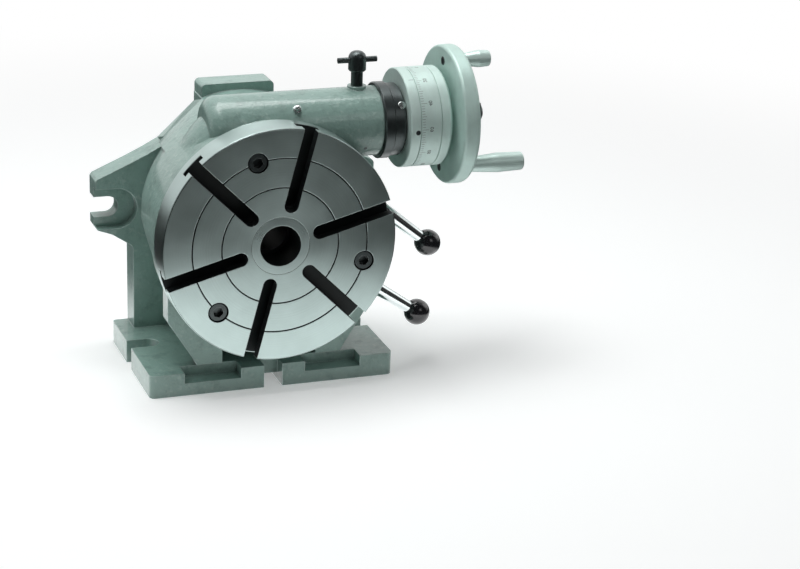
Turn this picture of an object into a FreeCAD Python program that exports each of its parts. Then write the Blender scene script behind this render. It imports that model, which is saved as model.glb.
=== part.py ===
import FreeCAD, Part
import Sketcher
import math
import os

# Dividing head: a 200 mm rotary indexing table standing on its foot.  A worm in an
# eccentric sleeve turns a 90-tooth wheel under the slotted table; two levers clamp the
# table and the sleeve can be turned to throw the worm out of mesh.
# Frame: origin at the centre of the table face, +X towards the handwheel, +Z up, the
# table faces -Y and everything else lies behind it.  Millimetres and degrees.

SIZES = {
    # table
    "table_radius": 100, "table_thickness": 28, "table_edge_break": 1.0,
    "slot_angle": 15.3, "slot_count": 6, "slot_throat": 12, "slot_head": 21,
    "slot_throat_depth": 9.5, "slot_depth": 17.5, "slot_end_centre": 35,
    "slot_head_end_centre": 40.5, "slot_lip_break": 0.6,
    "ring_line_inner": 50, "ring_line_outer": 75, "ring_line_depth": 0.7,
    "relief_radius_inner": 82, "relief_radius_outer": 98, "relief_depth": 4.4,
    # centre bush
    "bush_radius": 25, "bush_bore": 17.5, "bush_length": 33,
    # table screws
    "bolt_circle": 75, "bolt_offset_angle": 30, "bolt_count": 3, "counterbore_radius": 8.75,
    "counterbore_depth": 10.8, "cap_head_radius": 8, "cap_head_height": 10,
    "bolt_radius": 5, "bolt_end": 36, "hex_key": 8, "hex_depth": 5, "bolt_gap": 0.25,
    # spindle
    "neck_radius": 82, "flange_radius": 87, "flange_front": 31.5, "flange_back": 36.5,
    "shoulder_radius": 62, "wheel_register": 48, "journal_radius": 40, "thread_radius": 35,
    "spindle_bore": 15, "seat_back": 126, "spindle_end": 141, "register_depth": 6,
    # worm gearing
    "gear_module": 1.6, "wheel_teeth": 90, "worm_pitch_radius": 12, "wheel_width": 20,
    "worm_half_length": 13, "thread_thinning": 0.30, "flank_angle": 20,
    "wheel_screw_circle": 55, "wheel_screw_radius": 3, "wheel_screw_count": 6,
    "worm_plane": 63.5, "throw": 3.5, "worm_core_half": 28, "throw_out_turn": 90,
    "window_margin": 56,
    # worm shaft
    "shaft_radius": 8, "shaft_collar_radius": 14, "shaft_end": 197, "shaft_start": -46,
    "shaft_thread_radius": 6,
    # eccentric sleeve
    "sleeve_radius": 20.5, "sleeve_flange_radius": 32.5, "sleeve_step_radius": 31,
    "sleeve_flange": 9.5, "sleeve_step": 10, "sleeve_nose_radius": 20, "sleeve_nose": 5,
    "bearing_wall": 3, "inner_bearing": 15, "outer_bearing": 32, "thrust_washer": 3,
    "pin_radius": 3.3, "pin_length": 9,
    # dial
    "dial_radius": 42.5, "index_ring_width": 9, "dial_width": 18, "lock_ring_width": 9.5,
    "ring_screw_radius": 2,
    # handwheel
    "wheel_radius": 59.5, "wheel_face": 161, "wheel_rim": 14.5, "wheel_hub_radius": 16,
    "wheel_hub_end": 186, "wheel_dish_depth": 6, "wheel_dish_radius": 37,
    "handle_circle": 47, "handle_bolt_radius": 3.6, "key_width": 5, "key_height": 2.3,
    "crank_length": 62, "crank_radius": 8.6, "spinner_length": 27, "spinner_radius": 7.4,
    # casting
    "centre_height": 131.5, "foot_half": 106.5, "foot_front": 17, "back_face": 155.7,
    "foot_thickness": 20, "foot_slot_width": 18, "foot_slot_depth": 26, "foot_slot_centre": 94,
    "foot_corner_radius": 5, "ledge_drop": 9, "ledge_depth": 17, "ledge_inner": 28,
    "ledge_outer": 77, "keyway_width": 16, "keyway_depth": 7,
    "drum_radius": 98, "drum_front": 30, "front_wall": 16, "core_radius": 84,
    "flange_plate": 24, "plate_half": 93, "lug_reach": 125, "lug_slot_width": 18,
    "lug_slot_centre": 113, "lug_recess_width": 36, "lug_recess_centre": 107,
    "lug_recess_depth": 9, "lug_slot_height": -1, "crown_half": 32, "crown_height": 104,
    "leg_half": 88, "leg_elbow": 70, "leg_foot": 62, "leg_inner": 41,
    "gear_room_radius": 77, "arm_radius": 29.5, "arm_start": -50, "arm_end": 99,
    "arm_wall": 3, "arm_height": 84, "arm_round": 12,
    "boss_along": 83, "boss_radius": 8, "boss_top": 115.5, "boss_flare": 12,
    "nut_room_radius": 50, "cover_radius": 63.7, "cover_thickness": 5.2,
    "cover_screw_circle": 57, "cover_screw_radius": 2.5, "cover_screw_count": 4,
    "casting_round": 3,
    # table clamps
    "clamp_circle": 92, "clamp_angle_upper": 12.7, "clamp_angle_lower": -31.4,
    "lever_angle_upper": -38.9, "lever_angle_lower": -34.3, "lever_plane": 50,
    "lever_length": 74, "lever_root_radius": 6.2, "lever_tip_radius": 5,
    "ball_radius": 11.4, "clamp_hub_radius": 9, "clamp_hub_half": 7, "clamp_screw_radius": 5,
    "clamp_screw_end": 78, "clamp_boss_radius": 11, "clamp_boss_end": 84,
    "claw_thickness": 5.5, "claw_half": 18, "claw_slot": 9, "claw_head_radius": 5.6,
    "claw_head": 3.6, "claw_counterbore": 2, "lever_swing_up_upper": 25,
    "lever_swing_down_upper": 20, "lever_swing_up_lower": 25, "lever_swing_down_lower": 15,
    # sleeve lock
    "lock_stem_radius": 5, "lock_hub_radius": 7.5, "lock_hub_bottom": 128,
    "lock_hub_height": 17, "lock_bar_radius": 2.4, "lock_bar_half": 17, "lock_pad_height": 3.2,
    # fits
    "running_fit": 0.05, "body_gap": 0.3, "pad_gap": 0.3, "hole_gap": 0.3,
}

doc = FreeCAD.newDocument("dividing_head")
sheet = doc.addObject("Spreadsheet::Sheet", "sizes")
for row, (alias, number) in enumerate(SIZES.items(), start=1):
    sheet.set("A%d" % row, alias.replace("_", " "))
    sheet.set("B%d" % row, str(number))
    sheet.setAlias("B%d" % row, alias)
doc.recompute()


class Size:
    """A length or angle that keeps its number and its spreadsheet expression together."""

    def __init__(self, value, text):
        self.value = float(value)
        self.text = text

    def __add__(self, other):
        other = size(other)
        return Size(self.value + other.value, "(%s + %s)" % (self.text, other.text))

    def __radd__(self, other):
        return size(other) + self

    def __sub__(self, other):
        other = size(other)
        return Size(self.value - other.value, "(%s - %s)" % (self.text, other.text))

    def __rsub__(self, other):
        return size(other) - self

    def __mul__(self, other):
        other = size(other)
        return Size(self.value * other.value, "(%s * %s)" % (self.text, other.text))

    def __rmul__(self, other):
        return size(other) * self

    def __truediv__(self, other):
        other = size(other)
        return Size(self.value / other.value, "(%s / %s)" % (self.text, other.text))

    def __neg__(self):
        return Size(-self.value, "(0 - %s)" % self.text)


def size(number):
    """Any plain number or Size as a Size."""
    if isinstance(number, Size):
        return number
    return Size(number, "%.12g" % number if number >= 0 else "(%.12g)" % number)


def cosine(angle):
    return Size(math.cos(math.radians(angle.value)), "cos(%s * 1deg)" % angle.text)


def sine(angle):
    return Size(math.sin(math.radians(angle.value)), "sin(%s * 1deg)" % angle.text)


def tangent(angle):
    return Size(math.tan(math.radians(angle.value)), "tan(%s * 1deg)" % angle.text)


def root(number):
    return Size(math.sqrt(number.value), "sqrt(%s)" % number.text)


class Sheet:
    """Reads the named cells of the spreadsheet as Size values."""

    def __getattr__(self, alias):
        return Size(sheet.get(alias), "sizes." + alias)


s = Sheet()

# Places that several pieces share, worked out from the driving sizes.
WHEEL_PITCH = s.gear_module * s.wheel_teeth / 2
WORM_HEIGHT = s.arm_height
SLEEVE_PLANE = s.worm_plane - s.throw
BODY_FRONT = s.drum_front
PLATE_FRONT = s.back_face - s.flange_plate
FOOT_TOP = s.foot_thickness - s.centre_height
GEAR_FRONT = s.worm_plane - s.wheel_width / 2
GEAR_BACK = s.worm_plane + s.wheel_width / 2
GEAR_TIP = WHEEL_PITCH + s.gear_module
WORM_TIP = s.worm_pitch_radius + s.gear_module
WORM_CORE = s.worm_pitch_radius - s.gear_module * 1.25
SLEEVE_FLANGE_END = s.arm_end + s.sleeve_flange + s.sleeve_step
INDEX_START = SLEEVE_FLANGE_END + 0.5
NOSE_END = SLEEVE_FLANGE_END + s.sleeve_nose
COLLAR_START = NOSE_END + s.thrust_washer
DIAL_START = INDEX_START + s.index_ring_width + s.body_gap
DIAL_END = DIAL_START + s.dial_width
LOCK_RING_START = DIAL_END + s.body_gap
LOCK_RING_END = LOCK_RING_START + s.lock_ring_width
SHOULDER_GAP = 0.05

subparts = []


def bind(thing, path, value):
    """Tie one property to the spreadsheet."""
    thing.setExpression(path, size(value).text)


def place(thing, base=(0, 0, 0), axis=None, angle=0):
    """Give a sub-part a Placement tied to the spreadsheet."""
    rotation = FreeCAD.Rotation()
    if axis:
        rotation = FreeCAD.Rotation(FreeCAD.Vector(*axis), size(angle).value)
    thing.Placement = FreeCAD.Placement(FreeCAD.Vector(*[size(b).value for b in base]), rotation)
    for letter, value in zip("xyz", base):
        if isinstance(value, Size):
            bind(thing, "Placement.Base." + letter, value)
    if isinstance(angle, Size):
        bind(thing, "Placement.Rotation.Angle", angle)


def new_body(name, base=(0, 0, 0), axis=None, angle=0, keep=True):
    body = doc.addObject("PartDesign::Body", name)
    body.Label = name
    place(body, base, axis, angle)
    if keep:
        subparts.append(body)
    return body


PLANES = {"x": "YZ_Plane", "y": "XZ_Plane", "z": "XY_Plane"}
NORMAL_SIGN = {"x": 1, "y": -1, "z": 1}


def new_sketch(body, direction, at=0):
    """A sketch across the given direction of the body, at a distance along it.

    Its own axes are Y and Z across x, X and Z across y, and X and Y across z.
    """
    role = PLANES[direction]
    plane = next(f for f in body.Origin.OriginFeatures if f.Role == role)
    sketch = body.newObject("Sketcher::SketchObject", "outline")
    sketch.AttachmentSupport = [(plane, "")]
    sketch.MapMode = "FlatFace"
    offset = size(at) * NORMAL_SIGN[direction]
    sketch.AttachmentOffset.Base = FreeCAD.Vector(0, 0, offset.value)
    bind(sketch, "AttachmentOffset.Base.z", offset)
    return sketch


def dimension(sketch, kind, *where, value):
    index = sketch.addConstraint(Sketcher.Constraint(kind, *where, size(value).value))
    if isinstance(value, Size):
        sketch.setExpression("Constraints[%d]" % index, value.text)


def fix_point(sketch, geo, pos, u, v):
    """Dimension a point from the sketch's origin."""
    for kind, value in (("DistanceX", u), ("DistanceY", v)):
        dimension(sketch, kind, -1, 1, geo, pos, value=value)


def circle(sketch, u, v, radius):
    centre = FreeCAD.Vector(size(u).value, size(v).value, 0)
    geo = sketch.addGeometry(Part.Circle(centre, FreeCAD.Vector(0, 0, 1), size(radius).value))
    fix_point(sketch, geo, 3, u, v)
    dimension(sketch, "Radius", geo, value=radius)


def add_arc(sketch, first, middle, last):
    """Add an arc through three points; returns it with its ends in first, last order."""
    round_edge = Part.Arc(first, middle, last).toShape().Curve
    across = (middle - first).cross(last - middle)
    start, end = (first, last) if across.z > 0 else (last, first)
    angles = [math.atan2(p.y - round_edge.Center.y, p.x - round_edge.Center.x)
              for p in (start, end)]
    full = Part.Circle(round_edge.Center, FreeCAD.Vector(0, 0, 1), round_edge.Radius)
    geo = sketch.addGeometry(Part.ArcOfCircle(full, angles[0], angles[1]))
    return (geo, 1, 2) if across.z > 0 else (geo, 2, 1)


def corner_geometry(before, corner, after, radius):
    """Ends and middle of the arc that rounds one corner of an outline."""
    one = (before - corner).normalize()
    two = (after - corner).normalize()
    half = one.getAngle(two) / 2
    reach = radius / math.tan(half)
    bisector = (one + two).normalize()
    centre = corner + bisector * (radius / math.sin(half))
    return corner + one * reach, centre - bisector * radius, corner + two * reach


def outline(sketch, corners):
    """A closed outline of straight sides; a third number rounds that corner."""
    points = [FreeCAD.Vector(size(c[0]).value, size(c[1]).value, 0) for c in corners]
    rounds = [c[2] if len(c) > 2 else None for c in corners]
    count = len(corners)
    starts, ends, arcs = list(points), list(points), {}
    for i, radius in enumerate(rounds):
        if radius is not None:
            first, middle, last = corner_geometry(points[i - 1], points[i],
                                                  points[(i + 1) % count], size(radius).value)
            ends[i], starts[i] = first, last
            arcs[i] = (first, middle, last)
    lines = [sketch.addGeometry(Part.LineSegment(starts[i], ends[(i + 1) % count]))
             for i in range(count)]
    for i, (u, v) in enumerate((c[0], c[1]) for c in corners):
        before, after = lines[i - 1], lines[i]
        if i not in arcs:
            sketch.addConstraint(Sketcher.Constraint("Coincident", before, 2, after, 1))
            fix_point(sketch, after, 1, u, v)
            continue
        arc, into, out = add_arc(sketch, *arcs[i])
        sketch.addConstraint(Sketcher.Constraint("Tangent", before, 2, arc, into))
        sketch.addConstraint(Sketcher.Constraint("Tangent", after, 1, arc, out))
        dimension(sketch, "Radius", arc, value=rounds[i])
        corner = sketch.addGeometry(Part.Point(points[i]), True)
        sketch.addConstraint(Sketcher.Constraint("PointOnObject", corner, 1, before))
        sketch.addConstraint(Sketcher.Constraint("PointOnObject", corner, 1, after))
        fix_point(sketch, corner, 1, u, v)


def pad(body, direction, draw, start, end):
    """Add material between two distances along a direction."""
    sketch = new_sketch(body, direction, start)
    draw(sketch)
    feature = body.newObject("PartDesign::Pad", "pad")
    feature.Profile = sketch
    feature.Reversed = direction == "y"
    feature.Length = (size(end) - start).value
    bind(feature, "Length", size(end) - start)
    return feature


def cut(body, direction, draw, start, end):
    """Remove material between two distances along a direction."""
    sketch = new_sketch(body, direction, start)
    draw(sketch)
    feature = body.newObject("PartDesign::Pocket", "pocket")
    feature.Profile = sketch
    feature.Reversed = direction != "y"
    feature.Length = (size(end) - start).value
    bind(feature, "Length", size(end) - start)
    return feature


def turn(body, profile, along="y", remove=False):
    """Turn a profile of (distance along, radius) corners about the body's x or y axis."""
    sketch = new_sketch(body, "z")
    if along == "x":
        outline(sketch, [tuple(corner) for corner in profile])
        axis = "H_Axis"
    else:
        outline(sketch, [(corner[1], corner[0]) + tuple(corner[2:]) for corner in profile])
        axis = "V_Axis"
    kind = "PartDesign::Groove" if remove else "PartDesign::Revolution"
    feature = body.newObject(kind, "turned")
    feature.Profile = sketch
    feature.ReferenceAxis = (sketch, [axis])
    feature.Angle = 360
    return feature


def pattern(body, features, direction, count):
    """Repeat features evenly round the body's own axis."""
    axis_role = {"x": "X_Axis", "y": "Y_Axis"}[direction]
    axis = next(f for f in body.Origin.OriginFeatures if f.Role == axis_role)
    repeat = body.newObject("PartDesign::PolarPattern", "around")
    repeat.Originals = features
    repeat.Axis = (axis, [""])
    repeat.Angle = 360
    repeat.Occurrences = int(size(count).value)
    bind(repeat, "Occurrences", count)
    body.Tip = repeat
    return repeat


def rectangle(u0, v0, u1, v1):
    return lambda sketch: outline(sketch, [(u0, v0), (u1, v0), (u1, v1), (u0, v1)])


def disc(u, v, radius):
    return lambda sketch: circle(sketch, u, v, radius)


def shape(corners):
    return lambda sketch: outline(sketch, corners)


def mouth_slot(open_end, centre, middle, half_width):
    """A slot open at one end and half round at the other, running along u."""
    def draw(sketch):
        sign = 1 if size(centre).value > size(open_end).value else -1
        low = [size(open_end).value, size(middle - half_width).value]
        high = [size(open_end).value, size(middle + half_width).value]
        mid = size(centre).value
        corners = [FreeCAD.Vector(low[0], low[1], 0), FreeCAD.Vector(mid, low[1], 0),
                   FreeCAD.Vector(mid, high[1], 0), FreeCAD.Vector(high[0], high[1], 0)]
        tip = FreeCAD.Vector(mid + sign * size(half_width).value, size(middle).value, 0)
        lower = sketch.addGeometry(Part.LineSegment(corners[0], corners[1]))
        end, first, last = add_arc(sketch, corners[1], tip, corners[2])
        upper = sketch.addGeometry(Part.LineSegment(corners[2], corners[3]))
        mouth = sketch.addGeometry(Part.LineSegment(corners[3], corners[0]))
        sketch.addConstraint(Sketcher.Constraint("Tangent", lower, 2, end, first))
        sketch.addConstraint(Sketcher.Constraint("Tangent", upper, 1, end, last))
        sketch.addConstraint(Sketcher.Constraint("Coincident", upper, 2, mouth, 1))
        sketch.addConstraint(Sketcher.Constraint("Coincident", mouth, 2, lower, 1))
        sketch.addConstraint(Sketcher.Constraint("Horizontal", lower))
        sketch.addConstraint(Sketcher.Constraint("Horizontal", upper))
        sketch.addConstraint(Sketcher.Constraint("Vertical", mouth))
        fix_point(sketch, end, 3, centre, middle)
        dimension(sketch, "Radius", end, value=half_width)
        dimension(sketch, "DistanceX", -1, 1, mouth, 1, value=open_end)
    return draw


def group(name, members):
    """Several like solids kept as one sub-part."""
    compound = doc.addObject("Part::Compound", name)
    compound.Label = name
    compound.Links = members
    subparts.append(compound)
    return compound


def hexagon(u, v, across_flats):
    radius = across_flats / 2 / cosine(size(30))
    corners = []
    for step in range(6):
        angle = size(60 * step)
        corners.append((u + radius * cosine(angle), v + radius * sine(angle)))
    return shape(corners)


# ---------------------------------------------------------------- table

def rotary_table():
    body = new_body("rotary_table", axis=(0, -1, 0), angle=s.slot_angle)
    edge = s.table_edge_break
    line = s.ring_line_depth
    back = s.table_thickness
    relief = back - s.relief_depth
    turn(body, [
        (0, s.bush_radius), (0, s.ring_line_inner - line), (line, s.ring_line_inner),
        (0, s.ring_line_inner + line), (0, s.ring_line_outer - line), (line, s.ring_line_outer),
        (0, s.ring_line_outer + line), (0, s.table_radius - edge), (edge, s.table_radius),
        (back - edge, s.table_radius), (back, s.table_radius - edge),
        (back, s.relief_radius_outer), (relief, s.relief_radius_outer),
        (relief, s.relief_radius_inner), (back, s.relief_radius_inner), (back, s.bush_radius),
    ])
    outside = s.table_radius + 5
    throat = cut(body, "y", mouth_slot(outside, s.slot_end_centre, size(0), s.slot_throat / 2),
                 0, s.slot_throat_depth + 0.5)
    head = cut(body, "y",
               mouth_slot(outside, s.slot_head_end_centre, size(0), s.slot_head / 2),
               s.slot_throat_depth, s.slot_depth)
    pattern(body, [throat, head], "y", s.slot_count)
    turned_hole = -s.bolt_offset_angle
    u = s.bolt_circle * cosine(turned_hole)
    v = s.bolt_circle * sine(turned_hole)
    seat = cut(body, "y", disc(u, v, s.counterbore_radius), 0, s.counterbore_depth)
    hole = cut(body, "y", disc(u, v, s.bolt_radius + s.bolt_gap), 0, back)
    pattern(body, [seat, hole], "y", s.bolt_count)


def centre_bush():
    body = new_body("centre_bush")
    turn(body, [(0, s.bush_bore), (0, s.bush_radius - 0.4), (0.4, s.bush_radius),
                (s.bush_length, s.bush_radius), (s.bush_length, s.bush_bore)])


def cap_screw(name, base, axis, angle, seat, end, head_radius, head_height, radius, key):
    """A socket-head cap screw along +y whose head bears at seat."""
    body = new_body(name, base, axis, angle, keep=False)
    front = seat - head_height
    turn(body, [(front, 0), (front, head_radius - 0.6), (front + 0.6, head_radius),
                (seat, head_radius), (seat, radius), (end, radius), (end, 0)])
    cut(body, "y", hexagon(size(0), size(0), key), front, front + head_height / 2)
    return body


def table_screws():
    screws = []
    for index in range(SIZES["bolt_count"]):
        angle = s.slot_angle - s.bolt_offset_angle + size(120 * index)
        base = (s.bolt_circle * cosine(angle), size(0), s.bolt_circle * sine(angle))
        screws.append(cap_screw("table_screw", base, (0, -1, 0), angle, s.counterbore_depth,
                                s.bolt_end - 0.5, s.cap_head_radius, s.cap_head_height,
                                s.bolt_radius, s.hex_key))
    group("table_screws", screws)


# ---------------------------------------------------------------- spindle and wheel

def table_spindle():
    body = new_body("table_spindle", axis=(0, -1, 0), angle=s.slot_angle)
    front = s.table_thickness
    turn(body, [
        (front, s.bush_radius), (front, s.neck_radius), (s.flange_front, s.neck_radius),
        (s.flange_front, s.flange_radius), (s.flange_back, s.flange_radius),
        (s.flange_back, s.shoulder_radius), (GEAR_FRONT, s.shoulder_radius),
        (GEAR_FRONT, s.wheel_register), (GEAR_BACK, s.wheel_register),
        (GEAR_BACK, s.journal_radius), (s.seat_back, s.journal_radius),
        (s.seat_back, s.thread_radius), (s.spindle_end, s.thread_radius),
        (s.spindle_end, s.spindle_bore), (front + s.register_depth, s.spindle_bore),
        (front + s.register_depth, s.bush_radius),
    ])
    angle = -s.bolt_offset_angle
    hole = cut(body, "y", disc(s.bolt_circle * cosine(angle), s.bolt_circle * sine(angle),
                               s.bolt_radius), front, s.flange_back)
    pattern(body, [hole], "y", s.bolt_count)
    # The wheel keeps its own place in mesh, so its screws ignore the slots' angle.
    u = s.wheel_screw_circle * cosine(-s.slot_angle)
    v = s.wheel_screw_circle * sine(-s.slot_angle)
    tapped = cut(body, "y", disc(u, v, s.wheel_screw_radius), GEAR_FRONT - 12, GEAR_FRONT)
    pattern(body, [tapped], "y", s.wheel_screw_count)


def worm_wheel():
    """Toothed ring; each space is a straight flute laid over at the worm's lead angle."""
    body = new_body("worm_wheel")
    turn(body, [(GEAR_FRONT, s.wheel_register), (GEAR_FRONT, GEAR_TIP - 0.8),
                (GEAR_FRONT + 0.8, GEAR_TIP), (GEAR_BACK - 0.8, GEAR_TIP),
                (GEAR_BACK, GEAR_TIP - 0.8), (GEAR_BACK, s.wheel_register)])
    screw = cut(body, "y", disc(s.wheel_screw_circle, 0, s.wheel_screw_radius + 0.2),
                GEAR_FRONT, GEAR_BACK)
    head = cut(body, "y", disc(s.wheel_screw_circle, 0, s.wheel_screw_radius * 2),
               GEAR_BACK - 7, GEAR_BACK)
    pattern(body, [screw, head], "y", s.wheel_screw_count)
    # The flute is drawn across the wheel's width and tipped by the lead angle.
    floor = WHEEL_PITCH - s.gear_module * 1.25
    flank = tangent(s.flank_angle)
    quarter_pitch = s.gear_module * math.pi / 4
    low = quarter_pitch - flank * (WHEEL_PITCH - floor)
    above = s.gear_module * 1.6
    high = quarter_pitch + flank * above
    flute = new_sketch(body, "y", s.worm_plane)
    top = WHEEL_PITCH + above
    outline(flute, [(-low, floor), (low, floor), (high, top), (-high, top)])
    lead = s.gear_module * math.pi
    tilt = lead / (s.worm_pitch_radius * (2 * math.pi))
    tilt_angle = math.degrees(math.atan(tilt.value))
    flute.AttachmentOffset = FreeCAD.Placement(
        flute.AttachmentOffset.Base, FreeCAD.Rotation(FreeCAD.Vector(0, -1, 0), tilt_angle))
    flute.setExpression("AttachmentOffset.Rotation.Angle", "atan(%s)" % tilt.text)
    pocket = body.newObject("PartDesign::Pocket", "flute")
    pocket.Profile = flute
    pocket.Midplane = True
    pocket.Length = (s.wheel_width + 6).value
    bind(pocket, "Length", s.wheel_width + 6)
    pattern(body, [pocket], "y", s.wheel_teeth)


def wheel_screws():
    screws = []
    for index in range(SIZES["wheel_screw_count"]):
        angle = size(60 * index)
        base = (s.wheel_screw_circle * cosine(angle), size(0),
                s.wheel_screw_circle * sine(angle))
        body = new_body("wheel_screw", base, keep=False)
        radius = s.wheel_screw_radius
        seat = GEAR_BACK - 7
        turn(body, [(GEAR_FRONT - 11, 0), (GEAR_FRONT - 11, radius), (seat, radius),
                    (seat, radius * 1.65), (seat + 6, radius * 1.65), (seat + 6, 0)])
        cut(body, "y", hexagon(size(0), size(0), size(5)), seat + 3, seat + 6)
        screws.append(body)
    group("wheel_screws", screws)


def thrust_ring():
    body = new_body("thrust_ring")
    turn(body, [(s.seat_back, s.thread_radius + 0.2), (s.seat_back, s.nut_room_radius - 3),
                (s.seat_back + 3, s.nut_room_radius - 3),
                (s.seat_back + 3, s.thread_radius + 0.2)])


def retaining_nut():
    body = new_body("retaining_nut")
    front = s.seat_back + 3
    outer = s.nut_room_radius - 4
    turn(body, [(front, s.thread_radius), (front, outer), (front + 9, outer),
                (front + 10, outer - 1), (front + 10, s.thread_radius)])
    notch = cut(body, "y", rectangle(outer - 4, size(-3), outer + 2, size(3)),
                front, front + 11)
    pattern(body, [notch], "y", size(4))


def rear_cover():
    body = new_body("rear_cover")
    front = s.back_face - s.cover_thickness - 0.4
    back = front + s.cover_thickness
    turn(body, [(front, s.spindle_bore + 1), (front, s.cover_radius),
                (back - 0.6, s.cover_radius), (back, s.cover_radius - 0.6),
                (back, s.spindle_bore + 1)])
    radius = s.cover_screw_radius
    u = s.cover_screw_circle * cosine(size(45))
    v = s.cover_screw_circle * sine(size(45))
    hole = cut(body, "y", disc(u, v, radius + 0.3), front, back)
    head = cut(body, "y", disc(u, v, radius * 1.9), back - 2.6, back)
    pattern(body, [hole, head], "y", s.cover_screw_count)


def rear_cover_screws():
    screws = []
    back = s.back_face - 0.4
    seat = back - 2.6
    radius = s.cover_screw_radius
    for index in range(SIZES["cover_screw_count"]):
        angle = size(45 + 90 * index)
        base = (s.cover_screw_circle * cosine(angle), size(0),
                s.cover_screw_circle * sine(angle))
        body = new_body("cover_screw", base, keep=False)
        turn(body, [(seat - 13, 0), (seat - 13, radius), (seat, radius), (seat, radius * 1.8),
                    (back, radius * 1.8), (back, 0)])
        cut(body, "y", rectangle(-radius * 2, size(-0.5), radius * 2, size(0.5)),
            back - 1.2, back)
        screws.append(body)
    group("rear_cover_screws", screws)


# ---------------------------------------------------------------- worm train

WORM_AXIS = (size(0), s.worm_plane, WORM_HEIGHT)
SLEEVE_AXIS = (size(0), SLEEVE_PLANE, WORM_HEIGHT)


def worm_shaft():
    """Plain shaft with a single-start thread swept round its middle."""
    body = new_body("worm_shaft_blank", WORM_AXIS, keep=False)
    radius = s.shaft_radius
    nut_start = s.wheel_hub_end
    turn(body, [
        (s.shaft_start, 0), (s.shaft_start, radius), (-s.worm_core_half, radius),
        (-s.worm_core_half, WORM_CORE), (s.worm_core_half, WORM_CORE),
        (s.worm_core_half, radius), (COLLAR_START, radius),
        (COLLAR_START, s.shaft_collar_radius), (LOCK_RING_END, s.shaft_collar_radius),
        (LOCK_RING_END, radius), (nut_start - 1, radius),
        (nut_start - 1, s.shaft_thread_radius), (s.shaft_end, s.shaft_thread_radius),
        (s.shaft_end, 0),
    ], along="x")
    keyway = size(s.key_height) / 2
    cut(body, "x", rectangle(-s.key_width / 2, radius - keyway, s.key_width / 2, radius + 2),
        LOCK_RING_END + 4, nut_start - 4)
    doc.recompute()
    lead = (s.gear_module * math.pi).value
    length = 2 * s.worm_half_length.value
    core = WORM_CORE.value
    tip = WORM_TIP.value
    pitch = s.worm_pitch_radius.value
    slope = tangent(s.flank_angle).value
    half = lead / 4 - s.thread_thinning.value
    root_half = half + slope * (pitch - core + 0.3)
    tip_half = half - slope * (tip - pitch)
    helix = Part.makeHelix(lead, length, pitch)
    section = Part.makePolygon([FreeCAD.Vector(core - 0.3, 0, -root_half),
                                FreeCAD.Vector(tip, 0, -tip_half),
                                FreeCAD.Vector(tip, 0, tip_half),
                                FreeCAD.Vector(core - 0.3, 0, root_half),
                                FreeCAD.Vector(core - 0.3, 0, -root_half)])
    thread = Part.Wire(helix).makePipeShell([section], True, True)
    # The wheel has a tooth space on its +z line, so the thread passes -z at x = 0.
    thread.translate(FreeCAD.Vector(0, 0, -length / 2))
    thread.rotate(FreeCAD.Vector(), FreeCAD.Vector(0, 0, 1), -180 * (length / lead))
    thread.rotate(FreeCAD.Vector(), FreeCAD.Vector(0, 1, 0), 90)
    thread.translate(FreeCAD.Vector(*[value.value for value in WORM_AXIS]))
    if thread.Volume < 0:
        thread.reverse()
    feature = doc.addObject("Part::Feature", "worm_shaft")
    feature.Label = "worm_shaft"
    feature.Shape = body.Shape.fuse(thread)
    subparts.append(feature)


def plain_ring(name, base, start, end, inner, outer, keep=True):
    body = new_body(name, base, keep=keep)
    turn(body, [(start, inner), (start, outer), (end, outer), (end, inner)], along="x")
    return body


def worm_bearings():
    bore = s.shaft_radius + s.running_fit
    outer = s.shaft_radius + s.bearing_wall
    inner_start = s.shaft_start
    plain_ring("inner_worm_bush", WORM_AXIS, inner_start, inner_start + s.inner_bearing,
               bore, outer)
    plain_ring("outer_worm_bush", WORM_AXIS, s.arm_end - s.outer_bearing, s.arm_end,
               bore, outer)
    plain_ring("worm_thrust_washer", WORM_AXIS, NOSE_END, COLLAR_START - SHOULDER_GAP,
               s.shaft_radius + 0.2, s.shaft_collar_radius + 1)


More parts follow.
